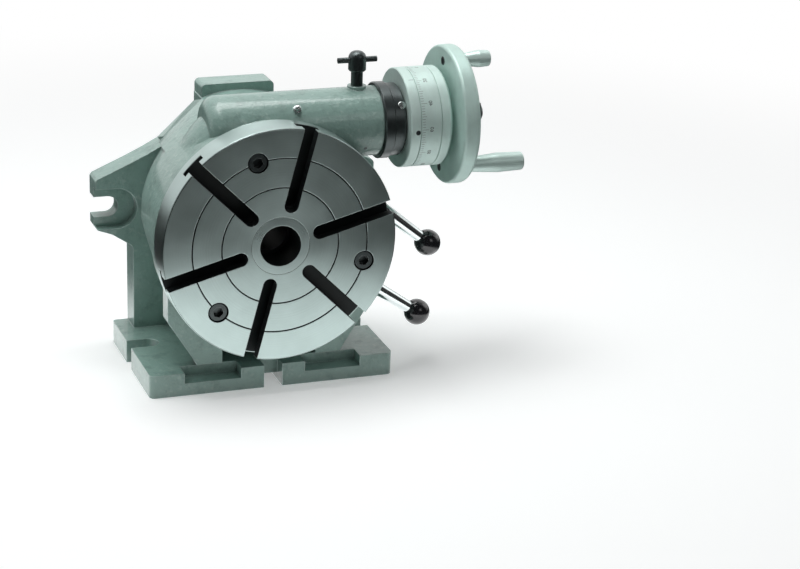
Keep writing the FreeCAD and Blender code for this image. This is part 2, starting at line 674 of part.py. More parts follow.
def eccentric_sleeve():
    """Sleeve turned about its outside, bored off centre for the worm, open to the wheel."""
    body = new_body("eccentric_sleeve", SLEEVE_AXIS)
    start = s.arm_start + s.arm_wall + 0.5
    step = s.arm_end + s.sleeve_flange
    turn(body, [(start, 0), (start, s.sleeve_radius), (s.arm_end, s.sleeve_radius),
                (s.arm_end, s.sleeve_flange_radius - 1),
                (s.arm_end + 1, s.sleeve_flange_radius),
                (step - 1, s.sleeve_flange_radius), (step, s.sleeve_step_radius),
                (SLEEVE_FLANGE_END - 1.5, s.sleeve_step_radius),
                (SLEEVE_FLANGE_END, s.sleeve_step_radius - 1.5), (SLEEVE_FLANGE_END, 0)],
         along="x")
    pad(body, "x", disc(s.throw, 0, s.sleeve_nose_radius), SLEEVE_FLANGE_END, NOSE_END)
    outer = s.shaft_radius + s.bearing_wall
    cut(body, "x", disc(s.throw, 0, outer), start, s.shaft_start + s.inner_bearing)
    cut(body, "x", disc(s.throw, 0, s.shaft_radius + 0.5), start, NOSE_END)
    cut(body, "x", disc(s.throw, 0, outer), s.arm_end - s.outer_bearing, s.arm_end)
    cut(body, "x", disc(s.throw, 0, WORM_TIP + 1.4), -s.worm_core_half - 1,
        s.worm_core_half + 1)
    cut(body, "x", disc(0, s.sleeve_step_radius - s.pin_length + 2, s.pin_radius),
        step - 1, SLEEVE_FLANGE_END + 1)
    # Window swept by the wheel's rim as the sleeve turns to throw the worm out.
    sketch = new_sketch(body, "z")
    rim = GEAR_TIP + 0.7
    reach = s.sleeve_radius + 1
    half = root(rim * rim - (WORM_HEIGHT - reach) * (WORM_HEIGHT - reach))
    middle = WORM_HEIGHT - rim
    left = FreeCAD.Vector(-half.value, reach.value, 0)
    right = FreeCAD.Vector(half.value, reach.value, 0)
    line = sketch.addGeometry(Part.LineSegment(left, right))
    arc, first, last = add_arc(sketch, right, FreeCAD.Vector(0, middle.value, 0), left)
    sketch.addConstraint(Sketcher.Constraint("Coincident", line, 2, arc, first))
    sketch.addConstraint(Sketcher.Constraint("Coincident", line, 1, arc, last))
    sketch.addConstraint(Sketcher.Constraint("Horizontal", line))
    dimension(sketch, "DistanceY", -1, 1, line, 1, value=reach)
    fix_point(sketch, arc, 3, size(0), WORM_HEIGHT)
    dimension(sketch, "Radius", arc, value=rim)
    window = body.newObject("PartDesign::Groove", "window")
    window.Profile = sketch
    window.ReferenceAxis = (sketch, ["H_Axis"])
    window.Angle = (s.throw_out_turn + 2 * s.window_margin).value
    bind(window, "Angle", s.throw_out_turn + 2 * s.window_margin)
    window.Midplane = True
    # The sketch is laid over so that its middle looks down and forwards.
    middle_turn = s.throw_out_turn / 2 + 180
    sketch.AttachmentOffset = FreeCAD.Placement(
        FreeCAD.Vector(), FreeCAD.Rotation(FreeCAD.Vector(1, 0, 0), middle_turn.value))
    sketch.setExpression("AttachmentOffset.Rotation.Angle", middle_turn.text)


def index_pin():
    step = s.arm_end + s.sleeve_flange
    base = (size(0), SLEEVE_PLANE, WORM_HEIGHT + s.sleeve_step_radius - s.pin_length + 2)
    plain = new_body("sleeve_pin", base)
    end = SLEEVE_FLANGE_END + 0.4
    turn(plain, [(step - 1, 0), (step - 1, s.pin_radius), (end - 0.6, s.pin_radius),
                 (end, s.pin_radius - 0.6), (end, 0)], along="x")


def index_ring():
    body = new_body("index_ring", WORM_AXIS)
    end = INDEX_START + s.index_ring_width
    inner = s.sleeve_nose_radius
    turn(body, [(INDEX_START, inner), (INDEX_START, s.dial_radius - 0.8),
                (INDEX_START + 0.8, s.dial_radius), (end - 0.4, s.dial_radius),
                (end, s.dial_radius - 0.4), (end, inner)], along="x")


def graduated_dial():
    body = new_body("graduated_dial", WORM_AXIS)
    inner = s.shaft_collar_radius + s.running_fit
    turn(body, [(DIAL_START, inner), (DIAL_START, s.dial_radius - 0.4),
                (DIAL_START + 0.4, s.dial_radius), (DIAL_END - 0.4, s.dial_radius),
                (DIAL_END, s.dial_radius - 0.4), (DIAL_END, inner)], along="x")


def dial_lock_ring():
    body = new_body("dial_lock_ring", WORM_AXIS)
    turn(body, [(LOCK_RING_START, s.shaft_collar_radius), (LOCK_RING_START, s.dial_radius - 0.5),
                (LOCK_RING_START + 0.5, s.dial_radius), (LOCK_RING_END - 2, s.dial_radius),
                (LOCK_RING_END, s.dial_radius - 2), (LOCK_RING_END, s.shaft_collar_radius)],
         along="x")


# ---------------------------------------------------------------- handwheel

def handwheel():
    body = new_body("handwheel", WORM_AXIS)
    face = s.wheel_face
    rim = face + s.wheel_rim
    web = rim - s.wheel_dish_depth
    turn(body, [
        (LOCK_RING_END, s.shaft_radius), (LOCK_RING_END, s.wheel_hub_radius),
        (face, s.wheel_hub_radius), (face, s.wheel_radius, 2.5), (rim, s.wheel_radius, 4),
        (rim, s.wheel_dish_radius, 1.5), (web, s.wheel_dish_radius - 2, 1.5),
        (web, s.wheel_hub_radius, 1.5), (s.wheel_hub_end, s.wheel_hub_radius, 1.5),
        (s.wheel_hub_end, s.shaft_radius),
    ], along="x")
    cut(body, "x", rectangle(-s.key_width / 2, size(0), s.key_width / 2,
                             s.shaft_radius + s.key_height), LOCK_RING_END, s.wheel_hub_end)
    for side in (1, -1):
        cut(body, "x", disc(0, s.handle_circle * side, s.handle_bolt_radius), face, rim)


def handwheel_fastening():
    key = new_body("handwheel_key", WORM_AXIS)
    half = s.key_width / 2
    pad(key, "x", rectangle(-half, s.shaft_radius - s.key_height / 2, half,
                            s.shaft_radius + s.key_height), LOCK_RING_END + 4,
        s.wheel_hub_end - 4)
    washer_end = s.wheel_hub_end + 2
    plain_ring("handwheel_washer", WORM_AXIS, s.wheel_hub_end, washer_end,
               s.shaft_thread_radius, s.shaft_thread_radius * 2)
    nut = new_body("handwheel_nut", WORM_AXIS)
    pad(nut, "x", hexagon(size(0), size(0), s.shaft_thread_radius * 3), washer_end,
        washer_end + 7)
    cut(nut, "x", disc(0, 0, s.shaft_thread_radius), washer_end, washer_end + 7)


def handle(name, side, length, radius):
    """A grip that turns on a shouldered bolt fixed in the wheel's rim."""
    axis = (size(0), s.worm_plane, WORM_HEIGHT + s.handle_circle * side)
    start = s.wheel_face + s.wheel_rim + s.body_gap
    end = start + length
    bolt = s.handle_bolt_radius
    recess = bolt + 1
    grip = new_body(name, axis)
    turn(grip, [
        (start, bolt + s.running_fit), (start, radius * 0.74, 0.8),
        (start + length * 0.1, radius * 0.7), (start + length * 0.62, radius, radius),
        (end, radius * 0.92, radius * 0.25), (end, recess + s.running_fit),
        (end - 4, recess + s.running_fit), (end - 4, bolt + s.running_fit)], along="x")
    rod = new_body(name + "_bolt", axis)
    turn(rod, [(s.wheel_face - 0.4, 0), (s.wheel_face - 0.4, bolt), (end - 3.9, bolt),
               (end - 3.9, recess), (end - 1.5, recess), (end - 0.7, recess - 0.8),
               (end - 0.7, 0)], along="x")
    cut(rod, "x", rectangle(size(-0.6), -bolt * 1.2, size(0.6), bolt * 1.2),
        s.wheel_face - 0.4, s.wheel_face + 0.8)


# ---------------------------------------------------------------- casting

def lug_outline(side):
    """Outline of one side lug of the back plate, seen from the front."""
    reach = s.lug_reach * side
    inner = s.plate_half * side
    return [(size(0), size(56)), (size(-0) + s.drum_radius * 0.76 * side, size(57)),
            (reach * 0.70, size(53)), (reach * 0.90, size(40), 14),
            (reach, size(24), 3), (reach, size(-19), 3), (reach * 0.89, size(-24), 5),
            (inner, size(-36), 6), (inner, size(-60)), (size(0), size(-60))]


def body_casting():
    body = new_body("body_casting")
    floor = -s.centre_height
    # Foot, then the back plate with its two lugs and crown.
    pad(body, "z", shape([(-s.foot_half, s.foot_front, s.foot_corner_radius),
                          (s.foot_half, s.foot_front, s.foot_corner_radius),
                          (s.foot_half, s.back_face, 3), (-s.foot_half, s.back_face, 3)]),
        floor, FOOT_TOP)
    pad(body, "y", rectangle(-s.plate_half, FOOT_TOP, s.plate_half, size(-30)),
        PLATE_FRONT, s.back_face)
    pad(body, "y", disc(0, 0, s.drum_radius), BODY_FRONT, s.back_face)
    for side in (1, -1):
        pad(body, "y", shape(lug_outline(side)), PLATE_FRONT, s.back_face)
    pad(body, "y", shape([(-s.crown_half, size(60)), (s.crown_half, size(60)),
                          (s.crown_half, s.crown_height, 4),
                          (-s.crown_half, s.crown_height, 4)]), PLATE_FRONT, s.back_face)
    # Relieved flanks: behind the front wall only a smaller core is left.
    wall_back = BODY_FRONT + s.front_wall
    legs_and_relief(body, floor, wall_back)
    # Cross tube for the worm.
    arm_start = s.arm_start
    arm = pad(body, "x", disc(SLEEVE_PLANE, WORM_HEIGHT, s.arm_radius), arm_start, s.arm_end)
    doc.recompute()
    round_arm_end(body, arm_start)
    pad(body, "z", disc(s.boss_along, SLEEVE_PLANE, s.boss_radius),
        WORM_HEIGHT + s.arm_radius * 0.8, s.boss_top)
    for angle in (s.clamp_angle_upper, s.clamp_angle_lower):
        u = s.clamp_circle * cosine(angle)
        v = s.clamp_circle * sine(angle)
        pad(body, "y", disc(u, v, s.clamp_boss_radius), wall_back, s.clamp_boss_end)
    bores(body)
    clamp_pockets(body)
    foot_cuts(body, floor)
    lug_cuts(body)


def legs_and_relief(body, floor, wall_back):
    for side in (1, -1):
        cut(body, "x", shape([
            (wall_back, floor + s.foot_thickness), (wall_back, size(-14)),
            (PLATE_FRONT - 30, size(20)), (PLATE_FRONT - 26, size(57)),
            (PLATE_FRONT, size(57)), (PLATE_FRONT, floor + s.foot_thickness)]),
            *sorted_span(side))
    pad(body, "y", disc(0, 0, s.core_radius), BODY_FRONT, s.back_face)
    for side in (1, -1):
        pad(body, "y", shape([
            (s.leg_half * side, size(-43)), (s.leg_half * side, -s.leg_elbow, 3),
            (s.leg_foot * side, FOOT_TOP), (s.leg_inner * side, FOOT_TOP),
            (s.leg_inner * side, size(-60))]), BODY_FRONT, wall_back)
        pad(body, "y", rectangle(s.leg_inner * side, FOOT_TOP,
                                 (s.leg_inner + 12) * side, size(-60)),
            wall_back, PLATE_FRONT)


def sorted_span(side):
    """Reach of a flank's relief along x, from just inside the drum to clear of it."""
    inner = s.core_radius * 0.5
    outer = s.drum_radius + 2
    return (inner, outer) if side > 0 else (-outer, -inner)


def round_arm_end(body, arm_start):
    feature = body.Tip
    edge = None
    for index, candidate in enumerate(feature.Shape.Edges, start=1):
        curve = candidate.Curve
        if curve.TypeId != "Part::GeomCircle":
            continue
        if abs(curve.Radius - s.arm_radius.value) < 1e-6:
            if abs(candidate.CenterOfMass.x - arm_start.value) < 1e-3:
                edge = "Edge%d" % index
    fillet = body.newObject("PartDesign::Fillet", "arm_end_round")
    fillet.Base = (feature, [edge])
    fillet.Radius = s.arm_round.value
    bind(fillet, "Radius", s.arm_round)


def bores(body):
    """Everything bored on the table axis and along the cross tube."""
    turn(body, [
        (BODY_FRONT - 5, 0), (BODY_FRONT - 5, s.flange_radius + s.body_gap),
        (s.flange_back, s.flange_radius + s.body_gap), (s.flange_back, s.gear_room_radius),
        (GEAR_BACK + 2, s.gear_room_radius), (GEAR_BACK + 2, s.journal_radius + s.running_fit),
        (s.seat_back, s.journal_radius + s.running_fit), (s.seat_back, s.nut_room_radius),
        (s.back_face - s.cover_thickness - 0.4, s.nut_room_radius),
        (s.back_face - s.cover_thickness - 0.4, s.cover_radius + 0.1),
        (s.back_face + 5, s.cover_radius + 0.1), (s.back_face + 5, 0)], remove=True)
    cut(body, "x", disc(SLEEVE_PLANE, WORM_HEIGHT, s.sleeve_radius + s.running_fit),
        s.arm_start + s.arm_wall, s.arm_end + 1)
    cut(body, "z", disc(s.boss_along, SLEEVE_PLANE, s.lock_stem_radius + s.running_fit),
        WORM_HEIGHT, s.boss_top + 1)
    tapped = s.back_face - s.cover_thickness - 0.4
    hole = cut(body, "y", disc(s.cover_screw_circle * cosine(size(45)),
                               s.cover_screw_circle * sine(size(45)),
                               s.cover_screw_radius), tapped - 12, tapped)
    return pattern(body, [hole], "y", s.cover_screw_count)


def clamp_pockets(body):
    """Room in the right flank for each clamp screw's hub, claw and swinging lever."""
    settings = (
        (s.clamp_angle_upper, s.lever_angle_upper, s.lever_swing_up_upper,
         s.lever_swing_down_upper),
        (s.clamp_angle_lower, s.lever_angle_lower, s.lever_swing_up_lower,
         s.lever_swing_down_lower))
    deep = s.lever_plane + s.clamp_hub_half + 0.5
    shallow = s.lever_plane - s.clamp_hub_half - 0.5
    width = s.clamp_hub_radius + 1
    for angle, lever, up, down in settings:
        u = s.clamp_circle * cosine(angle)
        v = s.clamp_circle * sine(angle)
        cut(body, "y", disc(u, v, width), BODY_FRONT, deep)
        corners = []
        for turn_angle, sign in ((lever + up, 1), (lever - down, -1)):
            side_u = u - sine(turn_angle) * width * sign
            side_v = v + cosine(turn_angle) * width * sign
            far_u = side_u + cosine(turn_angle) * 40
            far_v = side_v + sine(turn_angle) * 40
            pair = [(side_u, side_v), (far_u, far_v)]
            corners.extend(pair if sign > 0 else pair[::-1])
        cut(body, "y", shape(corners), shallow, deep)
        cut(body, "y", disc(u, v, s.clamp_screw_radius + s.running_fit), deep,
            s.clamp_screw_end + 2)
        cut(body, "y", shape(claw_corners(angle, s.claw_half + 0.5, s.drum_radius + 12)),
            BODY_FRONT, s.flange_front)


def claw_corners(angle, half, outer):
    """A block lying across the radius at the given angle."""
    inner = s.neck_radius + 0.6
    corners = []
    for along, across in ((inner, -half), (outer, -half), (outer, half), (inner, half)):
        corners.append((along * cosine(angle) - across * sine(angle),
                        along * sine(angle) + across * cosine(angle)))
    return corners


def foot_cuts(body, floor):
    lip = FOOT_TOP - s.ledge_drop
    for side in (1, -1):
        span = (s.ledge_inner, s.ledge_outer) if side > 0 else (-s.ledge_outer, -s.ledge_inner)
        cut(body, "z", rectangle(span[0], s.foot_front - 1, span[1],
                                 s.foot_front + s.ledge_depth), lip, FOOT_TOP + 1)
        edge = (s.foot_half + 1) * side
        centre = (s.foot_half - s.foot_slot_depth + s.foot_slot_width / 2) * side
        cut(body, "z", mouth_slot(edge, centre, s.foot_slot_centre, s.foot_slot_width / 2),
            floor, FOOT_TOP)
    cut(body, "y", rectangle(-s.keyway_width / 2, floor - 1, s.keyway_width / 2,
                             floor + s.keyway_depth), s.foot_front - 1, s.back_face + 1)
    cut(body, "z", rectangle(-s.keyway_width / 2, s.foot_front - 1, s.keyway_width / 2,
                             s.foot_front + 14), floor, FOOT_TOP + 1)


def lug_cuts(body):
    for side in (1, -1):
        edge = (s.lug_reach + 2) * side
        cut(body, "y", mouth_slot(edge, s.lug_slot_centre * side, s.lug_slot_height,
                                  s.lug_slot_width / 2), PLATE_FRONT, s.back_face)
        cut(body, "y", mouth_slot(edge, s.lug_recess_centre * side, s.lug_slot_height,
                                  s.lug_recess_width / 2), PLATE_FRONT - 30,
            PLATE_FRONT + s.lug_recess_depth)


# ---------------------------------------------------------------- clamps

def clamp(name, angle, lever):
    """Screw with a lever hub, the claw it pulls back, and the lever with its ball."""
    u = s.clamp_circle * cosine(angle)
    v = s.clamp_circle * sine(angle)
    claw_front = s.flange_front - s.claw_thickness
    head_front = claw_front + s.claw_counterbore - s.claw_head
    hub_front = s.lever_plane - s.clamp_hub_half
    hub_back = s.lever_plane + s.clamp_hub_half
    shank = s.clamp_screw_radius - 1
    screw = new_body(name + "_clamp_screw", (u, size(0), v), (0, -1, 0), lever)
    turn(screw, [
        (head_front, 0), (head_front, s.claw_head_radius - 0.5),
        (head_front + 0.5, s.claw_head_radius),
        (claw_front + s.claw_counterbore - SHOULDER_GAP, s.claw_head_radius),
        (claw_front + s.claw_counterbore - SHOULDER_GAP, shank), (hub_front, shank),
        (hub_front, s.clamp_hub_radius - 1), (hub_front + 1, s.clamp_hub_radius),
        (hub_back - 1, s.clamp_hub_radius), (hub_back, s.clamp_hub_radius - 1),
        (hub_back, s.clamp_screw_radius), (s.clamp_screw_end, s.clamp_screw_radius),
        (s.clamp_screw_end, 0)])
    cut(screw, "x", disc(s.lever_plane, 0, s.lever_root_radius - 1.2), size(-3),
        s.clamp_hub_radius + 1)
    rod_start = s.clamp_hub_radius
    rod_end = s.lever_length - s.ball_radius * 0.55
    rod = new_body(name + "_lever_rod", (u, s.lever_plane, v), (0, -1, 0), lever)
    neck = s.lever_root_radius - 1.2
    turn(rod, [(size(-3), 0), (size(-3), neck), (rod_start, neck),
               (rod_start, s.lever_root_radius), (rod_end, s.lever_tip_radius), (rod_end, 0)],
         along="x")
    ball = new_body(name + "_ball_knob", (u, s.lever_plane, v), (0, -1, 0), lever)
    radius = s.ball_radius
    middle = s.lever_length
    flat = root(radius * radius - (radius * 0.85) * (radius * 0.85))
    sketch = new_sketch(ball, "z")
    mouth = middle - radius * 0.85
    ball_profile(sketch, mouth, flat, middle, radius)
    revolve = ball.newObject("PartDesign::Revolution", "ball")
    revolve.Profile = sketch
    revolve.ReferenceAxis = (sketch, ["H_Axis"])
    revolve.Angle = 360
    bore = s.lever_root_radius + (s.lever_tip_radius - s.lever_root_radius) * 0.8
    cut(ball, "x", disc(s.lever_plane * 0, 0, bore), mouth - 1, rod_end)
    claw = new_body(name + "_clamp_claw")
    outer = s.relief_radius_outer - 2.6
    pad(claw, "y", shape(claw_corners(angle, s.claw_half, outer)), claw_front, s.flange_front)
    slot_corners = []
    half = s.claw_slot / 2
    inner = s.clamp_circle - half
    for along, across in ((inner, -half), (outer + 3, -half), (outer + 3, half),
                          (inner, half)):
        slot_corners.append((along * cosine(angle) - across * sine(angle),
                             along * sine(angle) + across * cosine(angle)))
    cut(claw, "y", shape(slot_corners), claw_front, s.flange_front)
    cut(claw, "y", disc(u, v, s.claw_head_radius + s.hole_gap), claw_front,
        claw_front + s.claw_counterbore)


def ball_profile(sketch, mouth, flat, middle, radius):
    """Half section of a ball with a small flat where the rod enters."""
    points = [FreeCAD.Vector(mouth.value, 0, 0), FreeCAD.Vector(mouth.value, flat.value, 0),
              FreeCAD.Vector(middle.value, radius.value, 0),
              FreeCAD.Vector(middle.value + radius.value, 0, 0)]
    face = sketch.addGeometry(Part.LineSegment(points[0], points[1]))
    arc, first, last = add_arc(sketch, points[1], points[2], points[3])
    base = sketch.addGeometry(Part.LineSegment(points[3], points[0]))
    sketch.addConstraint(Sketcher.Constraint("Coincident", face, 2, arc, first))
    sketch.addConstraint(Sketcher.Constraint("Coincident", arc, last, base, 1))
    sketch.addConstraint(Sketcher.Constraint("Coincident", base, 2, face, 1))
    fix_point(sketch, arc, 3, middle, size(0))
    dimension(sketch, "Radius", arc, value=radius)
    fix_point(sketch, face, 1, mouth, size(0))
    sketch.addConstraint(Sketcher.Constraint("Vertical", face))
    sketch.addConstraint(Sketcher.Constraint("Horizontal", base))


# ---------------------------------------------------------------- sleeve lock

def sleeve_lock():
    base = (s.boss_along, SLEEVE_PLANE, size(0))
    bottom = WORM_HEIGHT + s.sleeve_radius + s.pad_gap
    pad_top = bottom + s.lock_pad_height
    shoe = new_body("lock_pad", base)
    pad(shoe, "z", disc(0, 0, s.lock_stem_radius), bottom, pad_top)
    screw = new_body("lock_screw", base)
    top = s.lock_hub_bottom + s.lock_hub_height
    pad(screw, "z", disc(0, 0, s.lock_stem_radius), pad_top + SHOULDER_GAP,
        s.lock_hub_bottom)
    sketch = new_sketch(screw, "y")
    hub = s.lock_hub_radius
    outline(sketch, [(size(0), s.lock_hub_bottom), (hub - 1, s.lock_hub_bottom),
                     (hub, s.lock_hub_bottom + 1), (hub, top, hub * 0.8), (size(0), top)])
    revolve = screw.newObject("PartDesign::Revolution", "hub")
    revolve.Profile = sketch
    revolve.ReferenceAxis = (sketch, ["V_Axis"])
    revolve.Angle = 360
    bar_height = s.lock_hub_bottom + s.lock_hub_height * 0.55
    cut(screw, "x", disc(0, bar_height, s.lock_bar_radius), -hub - 1, hub + 1)
    bar = new_body("lock_bar", base)
    radius = s.lock_bar_radius
    pad(bar, "x", disc(0, bar_height, radius), -s.lock_bar_half, s.lock_bar_half)


rotary_table()
centre_bush()
table_screws()
table_spindle()
worm_wheel()
wheel_screws()
thrust_ring()
retaining_nut()
rear_cover()
rear_cover_screws()
worm_shaft()
worm_bearings()
eccentric_sleeve()
index_pin()
index_ring()
graduated_dial()
dial_lock_ring()
handwheel()
handwheel_fastening()
handle("crank_handle", -1, s.crank_length, s.crank_radius)
handle("spinner_knob", 1, s.spinner_length, s.spinner_radius)
body_casting()
clamp("upper", s.clamp_angle_upper, s.lever_angle_upper)
clamp("lower", s.clamp_angle_lower, s.lever_angle_lower)
sleeve_lock()
doc.recompute()

for item in doc.Objects:
    if "Invalid" in item.State or "Error" in item.State:
        raise RuntimeError("%s (%s) is not well made: %s" % (item.Name, item.Label, item.State))
for part in subparts:
    if part.Shape.isNull() or not part.Shape.isValid():
        raise RuntimeError("%s has no valid shape" % part.Label)

os.makedirs("parts", exist_ok=True)
for part in subparts:
    part.Shape.exportStep(os.path.join("parts", part.Label + ".step"))
    print("%-24s solids %d volume %.1f" % (part.Label, len(part.Shape.Solids),
                                           part.Shape.Volume))
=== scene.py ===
"""Finishes, scales and a plain studio for a dividing head with a slotted rotary table."""
import math

import bmesh
import bpy
from mathutils import Matrix, Vector


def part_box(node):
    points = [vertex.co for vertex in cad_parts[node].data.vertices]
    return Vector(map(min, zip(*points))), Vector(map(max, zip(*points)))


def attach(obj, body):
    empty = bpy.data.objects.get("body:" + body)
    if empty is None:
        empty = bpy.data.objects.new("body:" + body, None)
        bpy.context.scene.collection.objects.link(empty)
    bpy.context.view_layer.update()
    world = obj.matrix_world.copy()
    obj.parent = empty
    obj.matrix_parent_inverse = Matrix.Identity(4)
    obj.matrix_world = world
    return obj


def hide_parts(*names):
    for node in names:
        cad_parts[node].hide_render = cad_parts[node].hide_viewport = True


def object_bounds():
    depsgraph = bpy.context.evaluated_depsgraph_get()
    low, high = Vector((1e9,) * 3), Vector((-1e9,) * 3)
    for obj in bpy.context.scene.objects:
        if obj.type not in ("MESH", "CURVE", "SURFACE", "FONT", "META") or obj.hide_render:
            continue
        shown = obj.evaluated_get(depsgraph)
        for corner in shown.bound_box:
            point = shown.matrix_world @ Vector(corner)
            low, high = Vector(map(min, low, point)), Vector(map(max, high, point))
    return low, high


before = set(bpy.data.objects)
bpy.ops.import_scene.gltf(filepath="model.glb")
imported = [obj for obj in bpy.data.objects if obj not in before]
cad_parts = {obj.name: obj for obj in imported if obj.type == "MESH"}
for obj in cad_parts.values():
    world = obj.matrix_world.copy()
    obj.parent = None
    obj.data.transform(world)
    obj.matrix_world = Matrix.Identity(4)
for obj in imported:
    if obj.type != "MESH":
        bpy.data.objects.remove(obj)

bl_info = {
    "name": "Dividing Head",
    "version": (1, 0, 0),
    "blender": (4, 5, 0),
    "location": "3D View > Sidebar > Dividing Head",
    "description": "Finishes, engraved scales and studio for a dividing head",
    "category": "Object",
}

CAD_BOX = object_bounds()


# ---------------------------------------------------------------- places taken from the CAD parts

def middle(node):
    """Middle of a node's box."""
    low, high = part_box(node)
    return (low + high) / 2


def radius(node, axis):
    """Radius of a round part that turns about world axis 0, 1 or 2."""
    low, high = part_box(node)
    across = [high[i] - low[i] for i in range(3) if i != axis]
    return max(across) / 2


# ---------------------------------------------------------------- finishes

class Wire:
    """A value or colour in a finish. Sums with numbers and other wires add Math nodes."""

    def __init__(self, finish, socket):
        self.finish, self.socket = finish, socket

    def maths(self, operation, *values, clamp=False):
        settings = {"operation": operation, "use_clamp": clamp}
        return self.finish.node("ShaderNodeMath", settings, dict(enumerate(values)))

    def __add__(self, other):
        return self.maths("ADD", self, other)

    def __radd__(self, other):
        return self.maths("ADD", other, self)

    def __sub__(self, other):
        return self.maths("SUBTRACT", self, other)

    def __rsub__(self, other):
        return self.maths("SUBTRACT", other, self)

    def __mul__(self, other):
        return self.maths("MULTIPLY", self, other)

    def __rmul__(self, other):
        return self.maths("MULTIPLY", other, self)

    def __gt__(self, other):
        return self.maths("GREATER_THAN", self, other)

    def __lt__(self, other):
        return self.maths("LESS_THAN", self, other)

    def __pow__(self, other):
        return self.maths("POWER", self, other)

    def step(self, start, end):
        """0 below start, 1 above end, smooth between."""
        settings = {"interpolation_type": "SMOOTHSTEP"}
        values = {"Value": self, "From Min": start, "From Max": end}
        return self.finish.node("ShaderNodeMapRange", settings, values)

    def held(self):
        """Held between 0 and 1."""
        return self.maths("ADD", self, 0.0, clamp=True)


class Finish:
    """A material under construction. Places are in metres in the object's own frame."""

    def __init__(self, name, **constants):
        self.material = bpy.data.materials.new(name)
        self.material.use_nodes = True
        self.tree = self.material.node_tree
        self.tree.nodes.clear()
        self.shader = self.tree.nodes.new("ShaderNodeBsdfPrincipled")
        end = self.tree.nodes.new("ShaderNodeOutputMaterial")
        self.tree.links.new(self.shader.outputs[0], end.inputs[0])
        self.feed(**constants)
        self.place = self.node("ShaderNodeTexCoord", {}, {}, "Object")

    def node(self, kind, settings, values, output=0):
        """Adds a node, sets it up, then gives its sockets their values or links."""
        made = self.tree.nodes.new(kind)
        for name, value in settings.items():
            setattr(made, name, value)
        for name, value in values.items():
            if isinstance(value, Wire):
                self.tree.links.new(value.socket, made.inputs[name])
            else:
                made.inputs[name].default_value = value
        return Wire(self, made.outputs[output])

    def feed(self, **sockets):
        """Sets the shader's sockets: base_color feeds Base Color, and so on."""
        for name, value in sockets.items():
            socket = self.shader.inputs[name.replace("_", " ").title().replace("Ior", "IOR")]
            if isinstance(value, Wire):
                self.tree.links.new(value.socket, socket)
            else:
                socket.default_value = value

    def noise(self, size, detail=3.0, place=None, roughness=0.5):
        """Cloudy value about 0.5 whose lumps are size metres across."""
        values = {"Vector": place or self.place, "Scale": 1 / size, "Detail": detail,
                  "Roughness": roughness}
        return self.node("ShaderNodeTexNoise", {}, values)

    def mix(self, mask, first, second):
        """Colour that goes from first to second as mask goes from 0 to 1."""
        values = {0: mask, 6: first, 7: second}
        return self.node("ShaderNodeMix", {"data_type": "RGBA"}, values, 2)

    def bump(self, height, depth, normal=None):
        """Normal of a surface whose height wire, times depth metres, stands proud."""
        values = {"Height": height, "Distance": depth, "Strength": 1.0}
        if normal:
            values["Normal"] = normal
        return self.node("ShaderNodeBump", {}, values)

    def rounded(self, size):
        """Normal with every sharp edge rounded to size metres."""
        return self.node("ShaderNodeBevel", {"samples": 6}, {"Radius": size})

    def edges(self, size):
        """1 on edges and corners, 0 on flats."""
        plain = self.node("ShaderNodeNewGeometry", {}, {}, "Normal")
        settings = {"operation": "DOT_PRODUCT"}
        same = self.node("ShaderNodeVectorMath", settings, {0: self.rounded(size), 1: plain}, 1)
        return ((1 - same) * 5.0).held()

    def part(self, axis):
        """One coordinate of the place: X, Y or Z."""
        return self.node("ShaderNodeSeparateXYZ", {}, {0: self.place}, axis)

    def stretched(self, x, y, z):
        """The place multiplied along each axis, for scratches and brushed lines."""
        values = {0: self.place, 1: (x, y, z)}
        return self.node("ShaderNodeVectorMath", {"operation": "MULTIPLY"}, values)

    def away(self, axis, centre):
        """Distance in metres from a line along world axis 0, 1 or 2 through centre."""
        letters = [letter for i, letter in enumerate("XYZ") if i != axis]
        middles = [centre[i] for i in range(3) if i != axis]
        first, second = (self.part(a) - m for a, m in zip(letters, middles))
        return (first * first + second * second) ** 0.5


def colour(values):
    """A setting's three numbers as a colour for a socket."""
    return (values[0], values[1], values[2], 1.0)


def darker(values, share):
    """The same colour multiplied by share, which lightens it where share is above 1."""
    return (values[0] * share, values[1] * share, values[2] * share, 1.0)


def dress(names, finish):
    """Gives CAD nodes a finish."""
    for name in names:
        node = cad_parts[name]
        node.data.materials.clear()
        node.data.materials.append(finish.material)


